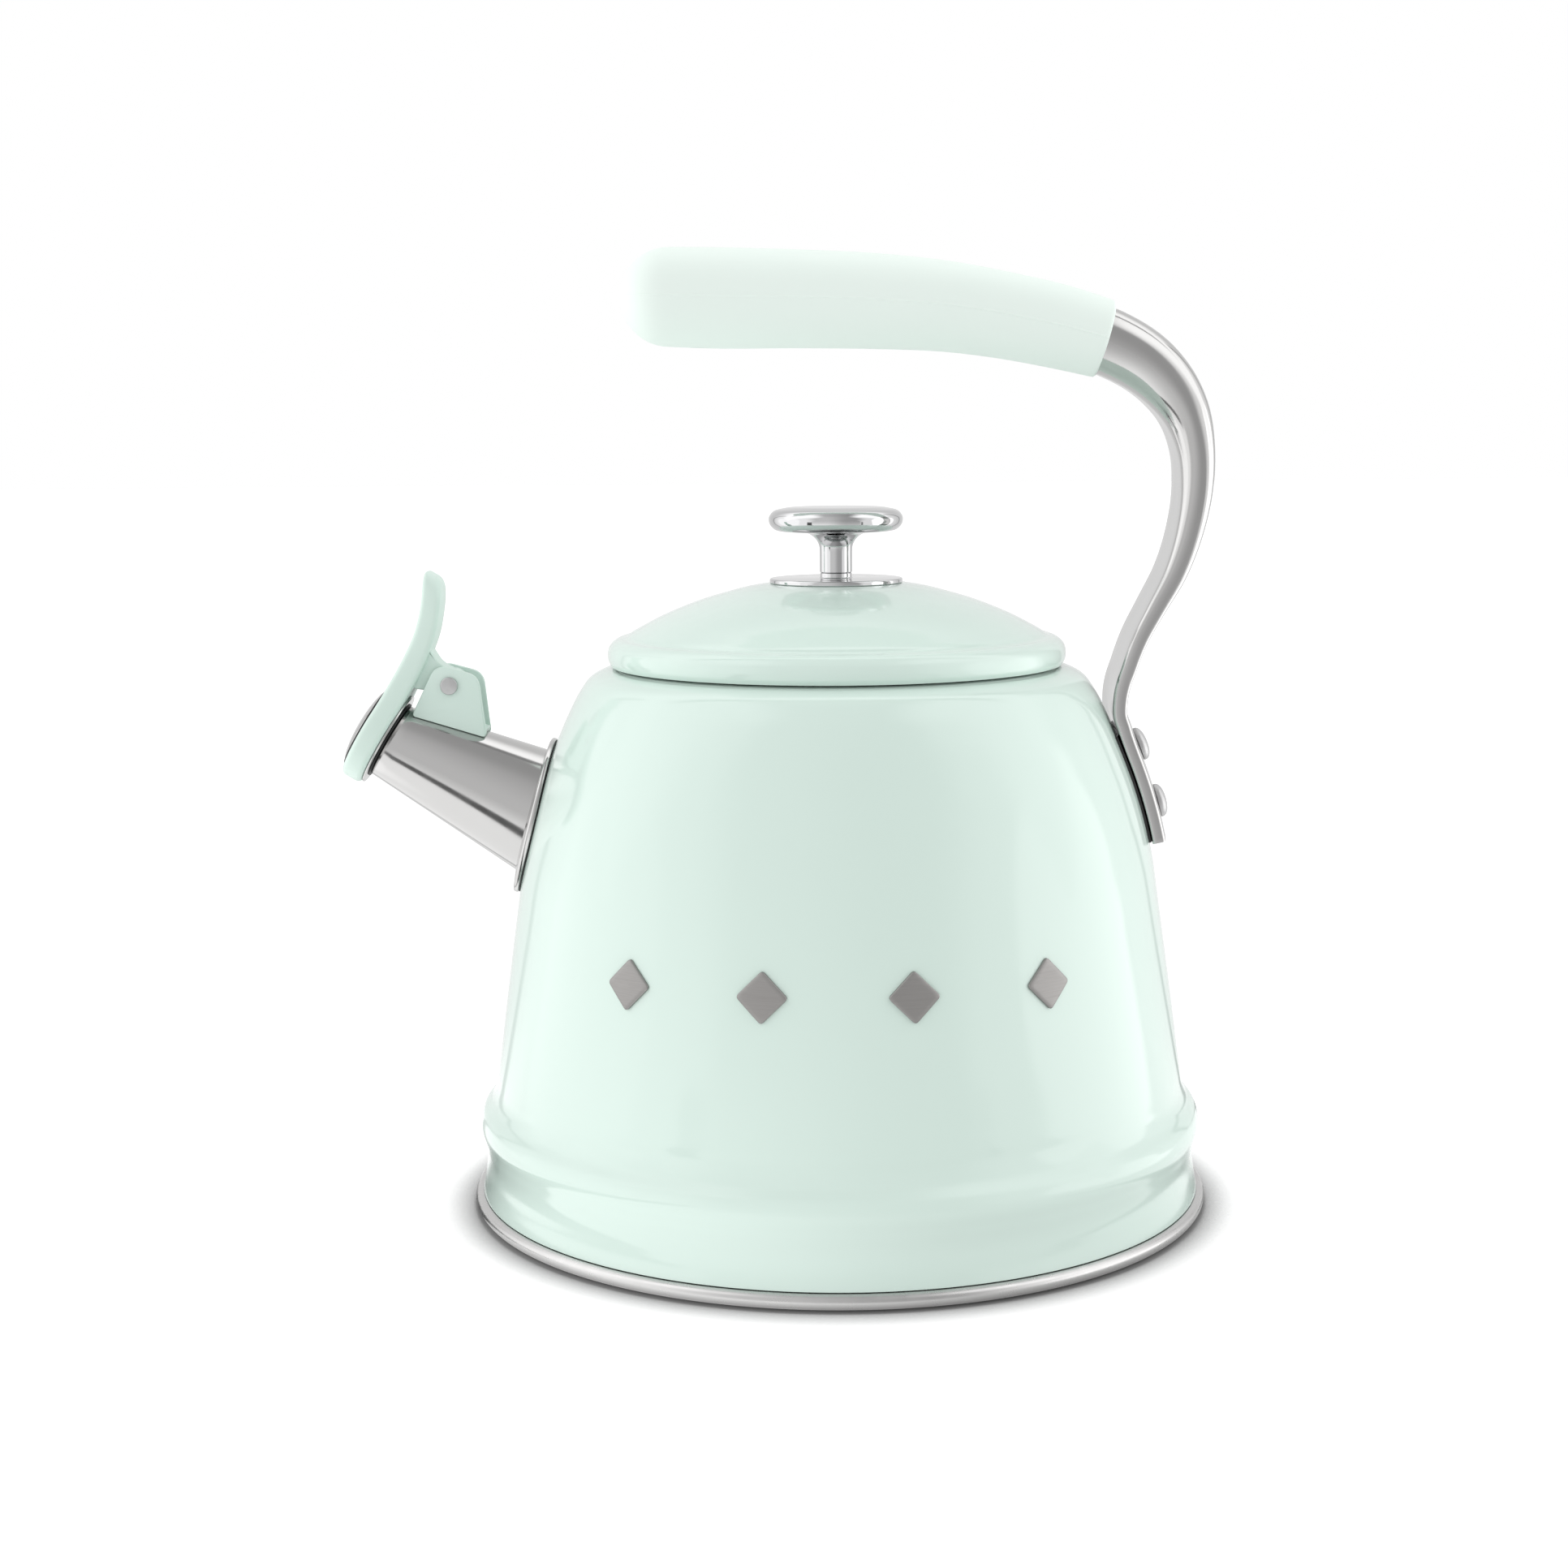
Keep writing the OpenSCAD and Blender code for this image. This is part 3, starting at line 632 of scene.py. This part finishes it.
pin_r = 1.5
head_r = 2.45
head_h = 1.1
half_pin = bracket_w / 2 + 0.05
pin_head = [(head_r, 0.0), (head_r, 0.55)]
pin_head += [(head_r - 0.45 + 0.45 * cosd(a), 0.55 + 0.35 * sind(a)) for a in (20, 40, 60, 80, 90)]
pin_head += [(1.2, 1.02), (0.0, head_h)]
pin_line = [(0.0, -half_pin - head_h)] + [(r, -half_pin - h) for r, h in reversed(pin_head[:-1])]
pin_line += [(pin_r, -half_pin), (pin_r, half_pin)] + [(r, half_pin + h) for r, h in pin_head]
add_mesh(
    "hinge_rivet", *lathe(pin_line, 64, at_pin, closed=False),
    "kettle", "satin_steel", rivet_steel, ["hinge_pin"],
)

coil_r = 2.4
coil_pitch = 0.72
wire_r = 0.35
coil = [(6.3, -8.4, -1.05), (5.5, -6.9, -1.07), (4.6, -5.4, -1.08)]
coil += [
    (coil_r * cosd(a), coil_r * sind(a), coil_pitch * (a + 30) / 360 - 1.13) for a in range(-30, 1091, 10)
]
coil += [(0.4, 2.6, 1.1), (-1.4, 4.6, 1.08), (-3.7, 6.2, 1.05)]


def tube(path, r, sides):
    """Vertices and faces of a wire of radius r along a path."""
    p = np.array(path, float)
    rings = []
    for i in range(len(p)):
        ahead = p[min(i + 1, len(p) - 1)] - p[max(i - 1, 0)]
        ahead /= np.linalg.norm(ahead)
        out = np.cross(ahead, [0, 0, 1])
        out /= np.linalg.norm(out)
        up = np.cross(out, ahead)
        a = np.arange(sides) * 2 * np.pi / sides
        rings.append(p[i] + r * (np.outer(np.cos(a), out) + np.outer(np.sin(a), up)))
    return skin(rings)


coil_verts, coil_faces = tube(coil, wire_r, 12)
add_mesh(
    "hinge_coil", at_pin(coil_verts), coil_faces, "kettle", "satin_steel", satin, ["hinge_spring"]
)

# --- Whistle --------------------------------------------------------------------------

flap_r = 14.7
flap_in = 1.2
flap_out = 7.4
tab_w = 13.0
tab_top = 46.9
mouth_up = np.array([sind(mouth_tilt), 0, cosd(mouth_tilt)])
mouth_out = np.array([-cosd(mouth_tilt), 0, sind(mouth_tilt)])


def at_mouth(p):
    """From a frame on the mouth, with Z out of it and X up its plane, to the shared frame."""
    return mouth + np.array(p, float) @ np.array([mouth_up, Y_AXIS, mouth_out])


def in_mouth_frame(points):
    """Points of X and Z as distances up the mouth's plane and out of it."""
    q = np.array([(x - mouth[0], 0, z - mouth[2]) for x, z in points])
    return np.stack([q @ mouth_up, q @ mouth_out], 1)


outer_tab = in_mouth_frame(
    [(-119.6, 154.1), (-116.9, 159.9), (-114.8, 167.8), (-114.05, 174), (-113.8, 177.5)]
)
inner_tab = in_mouth_frame(
    [(-112.9, 154.4), (-111, 159.5), (-109.9, 164.5), (-109.2, 170), (-109.1, 175), (-109.2, 178)]
)
lever_outer = smooth(np.vstack([[(-16, flap_out), (0, flap_out), (12, flap_out)], outer_tab]), 8)
lever_inner = smooth(np.vstack([[(-16, flap_in), (0, flap_in), (12, flap_in)], inner_tab]), 8)

# Half of the lever seen along the mouth's axis: its ring, the neck, and the tab with its corner
tab_half_w = tab_w / 2
tab_start = 24
tab_corner = 4.5
touch = math.degrees(
    math.atan(tab_half_w / tab_start) + math.acos(flap_r / math.hypot(tab_start, tab_half_w))
)
ring_half = [(flap_r * cosd(a), flap_r * sind(a)) for a in np.linspace(180, touch, 40)]
tab_half = smooth(
    [
        ring_half[-1], (flap_r * cosd(touch) + 5, flap_r * sind(touch) - 2.6),
        (tab_start, tab_half_w + 0.35), (tab_start + 8, tab_half_w), (tab_top - tab_corner, tab_half_w),
    ],
    6,
)[1:]
corner = [
    (tab_top - tab_corner * (1 - sind(a)), tab_half_w - tab_corner * (1 - cosd(a)))
    for a in range(10, 91, 10)
]
half_outline = evenly(np.vstack([ring_half, tab_half, corner, [(tab_top, 0.0)]]), 150)


def lever_mesh(ease=1.6):
    """The lever as columns of points round its outline, with eased edges, closed across its width."""
    half = half_outline
    loop = np.vstack([half, (half * [1, -1])[-2:0:-1]])
    way = np.roll(loop, -1, 0) - np.roll(loop, 1, 0)
    way /= np.linalg.norm(way, axis=1)[:, None]
    inward = np.stack([way[:, 1], -way[:, 0]], 1)
    if (inward[len(half) // 2] @ (0, 1)) > 0:
        inward = -inward
    turns = [(ease * (1 - cosd(a)), ease * (1 - sind(a))) for a in (0, 18, 36, 54, 72, 90)]
    columns = []
    for inset, drop in reversed(turns):
        q = loop + inset * inward
        q[:, 0] = np.minimum(q[:, 0], tab_top)
        columns.append(np.stack([q[:, 0], q[:, 1], np.interp(q[:, 0], *lever_inner.T) + drop], 1))
    for inset, drop in turns:
        q = loop + inset * inward
        columns.append(np.stack([q[:, 0], q[:, 1], np.interp(q[:, 0], *lever_outer.T) - drop], 1))
    verts, faces = skin(columns, False, False)
    n, m = len(loop), len(half)
    for start in (0, (len(columns) - 1) * n):
        faces.append([start, start + 1, start + n - 1])
        for i in range(1, m - 2):
            faces.append([start + i, start + i + 1, start + n - i - 1, start + n - i])
        faces.append([start + m - 2, start + m - 1, start + m])
    return verts, faces


lever_verts, lever_faces = lever_mesh()
add_mesh(
    "whistle_tab", at_mouth(lever_verts), lever_faces,
    "whistle", "mint_plastic", lever_plastic, ["whistle_lever"], sharp=50,
)

eye = [(pin_x + 4.4 * cosd(a), pin_z + 4.4 * sind(a)) for a in range(85, -116, -10)]
lug_top = smooth(
    [
        (-116.5, 160.5), (-114.4, 158.2), (-112.9, 156), (-111.6, 153.8),
        (-110.4, 152.1), (-108.9, 150.9), eye[0],
    ],
    4,
)
lug_low = smooth([eye[-1], (-111.6, 142.3), (-114.2, 144.1), (-117.6, 144.9), (-119, 148)], 4)
lug_line = evenly(np.vstack([lug_top[:-1], eye, lug_low[1:]]), 150, True)
lug_half = (bracket_w - 2 * ear_t - 0.6) / 2
add_mesh(
    "whistle_lug", *plate(lambda y: lug_line, -lug_half, lug_half, 0.5),
    "whistle", "mint_plastic", lever_plastic,
)

disc_r = flap_r - 0.9
plate_line = rounded([(2.2, 0.5), (disc_r, 0.5), (disc_r, 1.12), (2.2, 1.12)], [0, 0.25, 0.25, 0])
add_mesh(
    "whistle_disc", *lathe(plate_line, 96, at_mouth), "whistle", "polished_steel", polished, ["whistle_plate"]
)
seal_in, seal_out = mouth_r - 1.6, mouth_r + 0.7
seal_line = rounded([(seal_in, 0.05), (seal_out, 0.05), (seal_out, 0.5), (seal_in, 0.5)], 0.15)
add_mesh(
    "whistle_gasket", *lathe(seal_line, 96, at_mouth), "whistle", "black_silicone", silicone, ["whistle_seal"]
)
cover_r = 11.8
cover_h = 2.4
cover_t = 0.7
cover_top = flap_out + cover_h
hole_r = 1.6
inside_r, inside_h = cover_r - cover_t, cover_h - cover_t
dome = [(cover_r, flap_out - 0.3)]
dome += [(cover_r * cosd(a), flap_out + cover_h * sind(a)) for a in range(3, 82, 3)]
dome += [(hole_r + 0.3, cover_top), (hole_r, cover_top - 0.15), (hole_r, cover_top - cover_t)]
dome += [(inside_r * cosd(a), flap_out + inside_h * sind(a)) for a in range(81, 2, -6)]
dome += [(inside_r, flap_out - 0.3)]
add_mesh(
    "whistle_dome", *lathe(dome, 128, at_mouth),
    "whistle", "polished_steel", polished, ["whistle_cover"],
)

# A black ring round the dome's foot that stands for no CAD part: a dark piece that paints the shade line
# where the dome meets the lever
ring = [(cover_r + 0.15 + 0.3 * cosd(a), flap_out + 0.2 + 0.35 * sind(a)) for a in range(0, 360, 30)]
add_mesh("whistle_dome_shade_ring", *lathe(ring, 128, at_mouth), "whistle", "black_silicone", silicone)

# --- Lid ------------------------------------------------------------------------------

lid_line = smooth(
    [
        (lid_r - 0.9, 151), (lid_r - 0.2, 152.3), (lid_r, 154.3), (lid_r - 0.4, 156.1),
        (lid_r - 1.6, 157.5), (60.2, 158.35), (58.9, 158.6), (58.1, 158.9), (57, 159.7),
        (53.8, 161.5), (49, 164), (43, 166.6), (37.6, 168.6), (31.2, 170.5), (25, 172.1),
        (knob_plate_r + 0.6, lid_top),
    ],
    6,
)
lid_line = np.vstack([lid_line, [(10, lid_top), (2.1, lid_top)]])
lid_loop = np.vstack([lid_line, parallel(lid_line, sheet_t)[::-1]])
add_mesh("lid_dome", *lathe(lid_loop, 240), "lid", "mint_enamel", enamel, ["lid_shell"])

skirt_r = neck_r - 1.4
skirt_in = skirt_r - 0.8
skirt_out = lid_r - 2.1
skirt_low, skirt_face, skirt_top = 139.5, 151.0, 151.8
skirt_line = rounded(
    [
        (skirt_in, skirt_low), (skirt_r, skirt_low), (skirt_r, skirt_face), (skirt_out, skirt_face),
        (skirt_out, skirt_top), (skirt_in, skirt_top),
    ],
    [0.35, 0.35, 0.5, 0.35, 0.35, 1.2],
)
add_mesh("lid_guide", *lathe(skirt_line, 192), "lid", "satin_steel", satin, ["lid_skirt"])
lip = neck_r - 0.3
seal_r = skirt_r + 0.05
lid_seal_line = rounded(
    [
        (seal_r, 143), (lip, 143.6), (lip, 144.2), (seal_r + 0.5, 144.8),
        (seal_r + 0.5, 145.6), (lip, 146.2), (lip, 146.8), (seal_r, 147.4),
    ],
    [0.1, 0.25, 0.25, 0.3, 0.3, 0.25, 0.25, 0.1],
)
add_mesh("lid_gasket", *lathe(lid_seal_line, 192), "lid", "black_silicone", silicone, ["lid_seal"])

# --- Knob -----------------------------------------------------------------------------

knob_r = 18.6
neck = 4.5
bore_r = 2.05
boss_top = lid_top + 2.8
knob_low = lid_top + 14.1
knob_top = lid_top + 21.1
plate_top = lid_top + 1.4
boss = neck - 0.1
knob_plate_line = rounded(
    [
        (bore_r, lid_top + 0.05), (knob_plate_r, lid_top + 0.05), (knob_plate_r, plate_top),
        (boss, plate_top), (boss, boss_top), (bore_r, boss_top),
    ],
    [0, 0.3, 0.55, 0.45, 0.3, 0],
)
add_mesh("knob_disc", *lathe(knob_plate_line, 160), "lid", "chrome_knob", chrome, ["knob_plate"])

knob_neck = [(bore_r, boss_top + 0.05), (neck - 0.3, boss_top + 0.05), (neck, boss_top + 0.3)]
knob_neck += [(neck, z) for z in np.linspace(boss_top + 1, knob_low - 4.5, 4)]
flare = smooth(
    [
        (neck, knob_low - 5.6), (neck + 0.12, knob_low - 4), (neck + 0.9, knob_low - 2.3),
        (neck + 2.6, knob_low - 0.8), (neck + 5.8, knob_low),
    ],
    5,
)[1:]
knob_edge = smooth(
    [
        flare[-1], (knob_r - 4.6, knob_low + 0.05), (knob_r - 1.6, knob_low + 0.7),
        (knob_r - 0.25, knob_low + 2.3), (knob_r - 0.1, knob_low + 4.0), (knob_r - 1.2, knob_low + 5.6),
        (knob_r - 4, knob_low + 6.5), (9, knob_top - 0.1), (4, knob_top - 0.02), (0, knob_top),
    ],
    6,
)[1:]
knob_line = np.vstack([[(0.0, knob_low), (bore_r, knob_low)], knob_neck, flare, knob_edge])
add_mesh("knob_turned", *lathe(knob_line, 160, closed=False), "lid", "chrome_knob", chrome, ["knob"])

# --- Handle ---------------------------------------------------------------------------

tube_girth = 64.0
strap_half = 1.9
pad_t = 0.7
gap = 0.1
strap_off = pad_t + gap + strap_half
strap_low = 101.6
strap_high = 131.5


def lean_at(z):
    """How far the body's side leans in at height z, in radians."""
    return math.atan((body_at(z - 1) - body_at(z + 1)) / 2)


def off_body_at(z, off):
    """Point in X and Z that stands off the body at height z."""
    return body_at(z) + off * math.cos(lean_at(z)), z + off * math.sin(lean_at(z))


bar_points = [(*off_body_at(z, strap_off), strap_half) for z in np.arange(strap_low, strap_high, 5)]
bar_points += [
    (79.4, 134, 1.95), (78.2, 137, 2), (77.9, 140.5, 2.05), (78.3, 145, 2.1),
    (79.5, 149.5, 2.15), (82.5, 157.7, 2.3), (86.9, 166.1, 2.6), (92.1, 175.7, 3.15),
    (96, 187.4, 3.75), (97.8, 198.2, 4.35), (97.6, 209, 5.1), (94.9, 219.2, 6.5),
    (90.8, 225.9, 7.6), (85.2, 231.6, 8.45), (74.2, 238, 9.1), (61, 241.9, 9.15),
]
bar_line = smooth(bar_points, 6)


def section(flat, h, steps=16):
    """Section of a flattened tube, as Y and height: flat faces, and squarer edges where it is thin."""
    power = min(1.0, max(0.5, 0.5 + (h - 2.0) / 8))
    half = []
    for a in np.linspace(0, np.pi, steps + 1):
        y, u = math.sin(a) ** power, abs(math.cos(a)) ** power
        half.append((flat + h * y, h * math.copysign(u, math.cos(a))))
    half += [(flat * k, -h) for k in (0.6, 0.3, 0, -0.3, -0.6)]
    return np.array(half + [(-y, -u) for y, u in half])


def along(line, i):
    """Direction of a line at its point i, in X and Z."""
    way = line[min(i + 1, len(line) - 1)] - line[max(i - 1, 0)]
    return way[:2] / np.linalg.norm(way[:2])


def bar_ring(i, shrink=0.0, shift=0.0):
    """Ring of the tube, dished to fit the body low down."""
    x, z, h = bar_line[i]
    ahead = along(bar_line, i)
    flat = (tube_girth - 2 * math.pi * h) / 4
    q = section(flat, h - shrink)
    q[:, 0] = q[:, 0] * (1 - shrink / 40)
    dish = 0.48 / body_at(120) * min(1, max(0, (150 - z) / 18))
    u = q[:, 1] - dish * q[:, 0] ** 2
    x, z = x - ahead[0] * shift, z - ahead[1] * shift
    return np.stack([x + ahead[1] * u, q[:, 0], z - ahead[0] * u], 1)


foot_edge = 0.45
foot = [bar_ring(0, foot_edge * (1 - sind(a)), -foot_edge * cosd(a)) for a in (0, 30, 60)]
add_mesh(
    "handle_tube", *skin(foot + [bar_ring(i) for i in range(1, len(bar_line))]),
    "kettle", "polished_steel", polished, ["handle_bar"],
)

grip_tip = (-45.2, 251.2, 13.4)
grip_line = smooth(
    [
        grip_tip, (-36, 250.9, 13.55), (-8, 250.3, 13.2), (12, 249.5, 12.8), (31, 247.9, 12.15),
        (48, 245.1, 11.6), (61, 242.3, 11.3), (73.7, 238.8, 10.65),
    ],
    10,
)
grip_aspect = 1.08
ridge = 0.14
ridge_angles = [87, 88.6, 89.3, 90, 90.7, 91.4, 93]


def grip_ring(i, scale=1.0, shift=0.0):
    """Ring of the grip, with the fine ridge of its parting line at the front and the back."""
    x, z, h = grip_line[i]
    ahead = along(grip_line, i)
    a = np.radians(np.concatenate([np.arange(0, 87, 6), ridge_angles, np.arange(96, 180, 6)]))
    a = np.concatenate([a, a + np.pi])
    bulge = ridge * np.clip(1 - np.degrees(np.abs((a % np.pi) - np.pi / 2)) / 1.2, 0, 1)
    q = np.stack([grip_aspect * h * np.sin(a), h * np.cos(a)], 1) * scale
    q[:, 0] += bulge * np.sign(q[:, 0]) * (scale > 0.3)
    x, z = x + ahead[0] * shift, z + ahead[1] * shift
    return np.stack([x - ahead[1] * q[:, 1], q[:, 0], z + ahead[0] * q[:, 1]], 1)


last = len(grip_line) - 1
tip_angles = (89.6, 87, 83, 78, 72, 66, 60, 53, 46, 39, 32, 25, 18, 12, 6)
grip_rings = [grip_ring(0, cosd(a), -grip_tip[2] * sind(a)) for a in tip_angles]
grip_rings += [grip_ring(i) for i in range(last)]
edge = 0.9
rim_h = grip_line[last][2]
grip_rings += [
    grip_ring(last, 1 - edge * (1 - cosd(a)) / rim_h, -edge * (1 - sind(a))) for a in (0, 30, 60, 90)
]
grip_rings.append(grip_ring(last, 0.86, -0.05))
add_mesh(
    "handle_grip_soft", *skin(grip_rings), "kettle", "mint_soft", grip_plastic, ["handle_grip"]
)

# --- Rivets ---------------------------------------------------------------------------

rivet_r = 2.5
rivet_head_r = 4.7
rivet_head_h = 2.7
rivet_z = (125.8, 110.4)


def at_rivet(z):
    """From a frame on the strap's face, with Z out of it and X up it, to the shared frame."""
    lean = lean_at(z)
    x0, z0 = off_body_at(z, pad_t + gap + 2 * strap_half)
    out = np.array([math.cos(lean), 0, math.sin(lean)])
    up = np.array([-math.sin(lean), 0, math.cos(lean)])
    return lambda p: np.array([x0, 0, z0]) + p @ np.array([up, Y_AXIS, out])


# Down from the strap's face through strap, pad, body and backing plate, with their gaps
backing_t = 1.5
deep = 2 * strap_half + pad_t + sheet_t + backing_t + 6 * gap
rivet_line = [
    (0, -deep - 1.4), (rivet_r + 1.0, -deep - 1.4), (rivet_r + 1.5, -deep - 0.6), (rivet_r + 1.5, -deep),
]
rivet_line += [(rivet_r, -deep), (rivet_r, 0.1), (rivet_head_r - 0.2, 0.1), (rivet_head_r, 0.35)]
rivet_line += [
    (rivet_head_r * cosd(a) ** 0.8, 0.7 + (rivet_head_h - 0.7) * sind(a)) for a in range(0, 90, 8)
] + [(0, rivet_head_h)]
add_mesh(
    "strap_rivets", *joined(*[lathe(rivet_line, 64, at_rivet(z), closed=False) for z in rivet_z]),
    "kettle", "satin_steel", rivet_steel, ["handle_rivets"],
)

# --- CAD nodes that stay --------------------------------------------------------------

for node, finish in {
    "heat_disc": aluminium, "base_plate": satin, "knob_screw": satin, "knob_washer": satin,
    "handle_pad": silicone, "rivet_plate": satin,
}.items():
    mesh = frame["nodes"][node].data
    mesh.materials.clear()
    mesh.materials.append(finish)

# --- Studio ---------------------------------------------------------------------------


def room_light(t, x, y, z):
    """Light of the studio in a direction.

    It has white boxes at the far left and right, white sides, back and ceiling, and a grey zone
    towards the camera. Thin dark flags give polished steel its dark lines.
    """
    # Angle from the horizon at the camera's side up over the zenith to the back
    over = t.math("DEGREES", t.math("ARCTAN2", z, t.math("MULTIPLY", y, -1.0)))
    over = t.math("WRAP", over, 270.0, -90.0)

    def band(value, low, high, soft):
        rise = t.steps(value, low - soft, low + soft)
        fall = t.steps(value, high - soft, high + soft, 1.0, 0.0)
        return t.math("MULTIPLY", rise, fall)

    def blend(factor, a, b):
        return t.math("ADD", a, t.math("MULTIPLY", factor, t.math("SUBTRACT", b, a)))

    # Boxes and sides, then the back and the ceiling
    boxes = t.math("ADD", t.steps(x, 0.885, 0.915), t.steps(x, -0.915, -0.885, 1.0, 0.0))
    light = blend(boxes, t.steps(x, -0.4, 0.4, 1.36, 1.15), t.steps(x, -0.4, 0.4, 1.6, 2.15))
    light = blend(t.steps(y, 0.4, 0.75), light, 0.85)
    light = blend(band(over, 60, 122, 12), light, 1.75)

    # The grey zone, narrower above, lighter near the floor and towards the left
    half = t.steps(over, 40, 62, 0.67, 0.36)
    across = t.math("SUBTRACT", half, t.math("ABSOLUTE", t.math("SUBTRACT", x, 0.01)))
    soft_edge = t.steps(z, -0.06, 0.08, 0.04, 0.14)
    inside = t.steps(across, t.math("MULTIPLY", soft_edge, -1.0), soft_edge)
    front = t.math("MULTIPLY", inside, t.steps(over, 96, 101, 1.0, 0.0))
    grey = t.steps(over, -34, 4, 1.15, 0.68)
    grey = t.math("SUBTRACT", grey, t.steps(over, 50, 76, 0.0, 0.1))
    grey = t.math("MULTIPLY", grey, t.steps(x, -0.3, 0.35, 1.22, 0.74))
    light = blend(front, light, grey)

    # The dark flags: low ones in front, high ones behind, and one across the ceiling
    near = t.math("MULTIPLY", t.steps(z, -0.16, -0.02, 1.0, 0.0), t.steps(y, 0.0, 0.2, 1.0, 0.0))
    far = t.steps(over, 118, 124)
    flags = [
        (-0.76, -0.655, 0.9, near), (0.69, 0.73, 0.75, near),
        (0.63, 0.67, 0.6, far), (-0.75, -0.71, 0.5, far),
    ]
    for low, high, depth, where in flags:
        strip = t.math("MULTIPLY", band(x, low, high, 0.01), where)
        light = t.math("MULTIPLY", light, t.math("SUBTRACT", 1.0, t.math("MULTIPLY", strip, depth)))
    ceiling_depth = t.steps(t.math("ABSOLUTE", x), 0.55, 0.8, 0.8, 0.0)
    ceiling = t.math("MULTIPLY", band(over, 97.5, 105, 1.0), ceiling_depth)
    return t.math("MULTIPLY", light, t.math("SUBTRACT", 1.0, ceiling))


def studio_floor():
    """White paper that glows, so that only the tight shadow at the kettle's foot shows; that shadow is
    painted shade, the glow dimmed by an ambient occlusion node near the foot. Towards the kettle the paper
    glows with the room's light, as painted light.
    """
    mesh = bpy.data.meshes.new("floor")
    reach = 8.0
    corners = [(-reach, -reach, 0), (reach, -reach, 0), (reach, reach, 0), (-reach, reach, 0)]
    mesh.from_pydata(corners, [], [(0, 1, 2, 3)])
    obj = bpy.data.objects.new("floor", mesh)
    bpy.context.scene.collection.objects.link(obj)
    m = bpy.data.materials.new("floor_paper")
    t = Tree(m)
    out = t.add("ShaderNodeOutputMaterial")
    diffuse = t.add("ShaderNodeBsdfDiffuse")
    t.feed(diffuse.inputs["Color"], t.mix(t.noise(30, 3.0), (0.26, 0.26, 0.26, 1), (0.28, 0.28, 0.28, 1)))
    # Painted contact shadow: ambient occlusion within 19 mm of the kettle dims the floor's glow
    near = t.add("ShaderNodeAmbientOcclusion", samples=8)
    near.inputs["Distance"].default_value = 0.019
    open_sky = t.steps(near.outputs["AO"], 0.49, 0.98)
    place = t.add("ShaderNodeVectorMath", operation="SUBTRACT")
    t.links.new(t.add("ShaderNodeNewGeometry").outputs["Position"], place.inputs[0])
    place.inputs[1].default_value = (0, 0, 0.11)
    way = t.add("ShaderNodeVectorMath", operation="NORMALIZE")
    t.links.new(place.outputs[0], way.inputs[0])
    split = t.add("ShaderNodeSeparateXYZ")
    t.links.new(way.outputs[0], split.inputs[0])
    # Painted light towards the kettle: the floor glows with the room's light, dimmed near the foot as painted
    # shade
    room = t.math("SUBTRACT", room_light(t, *split.outputs), 0.3)
    room = t.math("MULTIPLY", room, t.math("MULTIPLY_ADD", open_sky, 0.6, 0.4))
    # Seen by the camera: a white glow, darkened near the foot as a painted shadow
    seen = t.math("MULTIPLY", open_sky, 0.9)
    camera_ray = t.add("ShaderNodeLightPath").outputs["Is Camera Ray"]
    strength = t.math("ADD", room, t.math("MULTIPLY", camera_ray, t.math("SUBTRACT", seen, room)))
    glow = t.add("ShaderNodeEmission")
    t.feed(glow.inputs["Strength"], strength)
    both = t.add("ShaderNodeAddShader")
    t.links.new(diffuse.outputs[0], both.inputs[0])
    t.links.new(glow.outputs[0], both.inputs[1])
    t.links.new(both.outputs[0], out.inputs[0])
    mesh.materials.append(m)


def studio_world():
    """The room all round, and plain white where it is seen past the kettle."""
    world = bpy.data.worlds.new("studio")
    bpy.context.scene.world = world
    t = Tree(world)
    split = t.add("ShaderNodeSeparateXYZ")
    t.links.new(t.add("ShaderNodeTexCoord").outputs["Generated"], split.inputs[0])
    seen = t.add("ShaderNodeBackground")
    seen.inputs["Color"].default_value = (1, 1, 1, 1)
    room = t.add("ShaderNodeBackground")
    room.inputs["Color"].default_value = (1, 1, 1, 1)
    t.feed(room.inputs["Strength"], room_light(t, *split.outputs))
    choice = t.add("ShaderNodeMixShader")
    t.links.new(t.add("ShaderNodeLightPath").outputs["Is Camera Ray"], choice.inputs[0])
    t.links.new(room.outputs[0], choice.inputs[1])
    t.links.new(seen.outputs[0], choice.inputs[2])
    t.links.new(choice.outputs[0], t.add("ShaderNodeOutputWorld").inputs[0])


studio_floor()
studio_world()
bpy.context.scene.view_settings.view_transform = "Standard"

# --- Camera ---------------------------------------------------------------------------


def studio_camera():
    """Level with the handle's bend, looking slightly down at the middle of the body."""
    data = bpy.data.cameras.new("camera")
    data.sensor_width = 36.0
    data.lens = 57.2
    data.clip_start, data.clip_end = 0.01, 50.0
    obj = bpy.data.objects.new("camera", data)
    bpy.context.scene.collection.objects.link(obj)
    yaw, pitch, roll = -1.233, 8.29, -0.46
    ahead = np.array([sind(yaw) * cosd(pitch), cosd(yaw) * cosd(pitch), -sind(pitch)])
    right = np.array([cosd(yaw), -sind(yaw), 0.0])
    up = np.cross(right, ahead)
    right, up = cosd(roll) * right + sind(roll) * up, cosd(roll) * up - sind(roll) * right
    pose = Matrix.Identity(4)
    for k in range(3):
        pose[k][0], pose[k][1], pose[k][2] = right[k], up[k], -ahead[k]
    pose[0][3], pose[1][3], pose[2][3] = 0.0, -0.6907, 0.2175
    obj.matrix_world = pose
    bpy.context.scene.camera = obj


studio_camera()
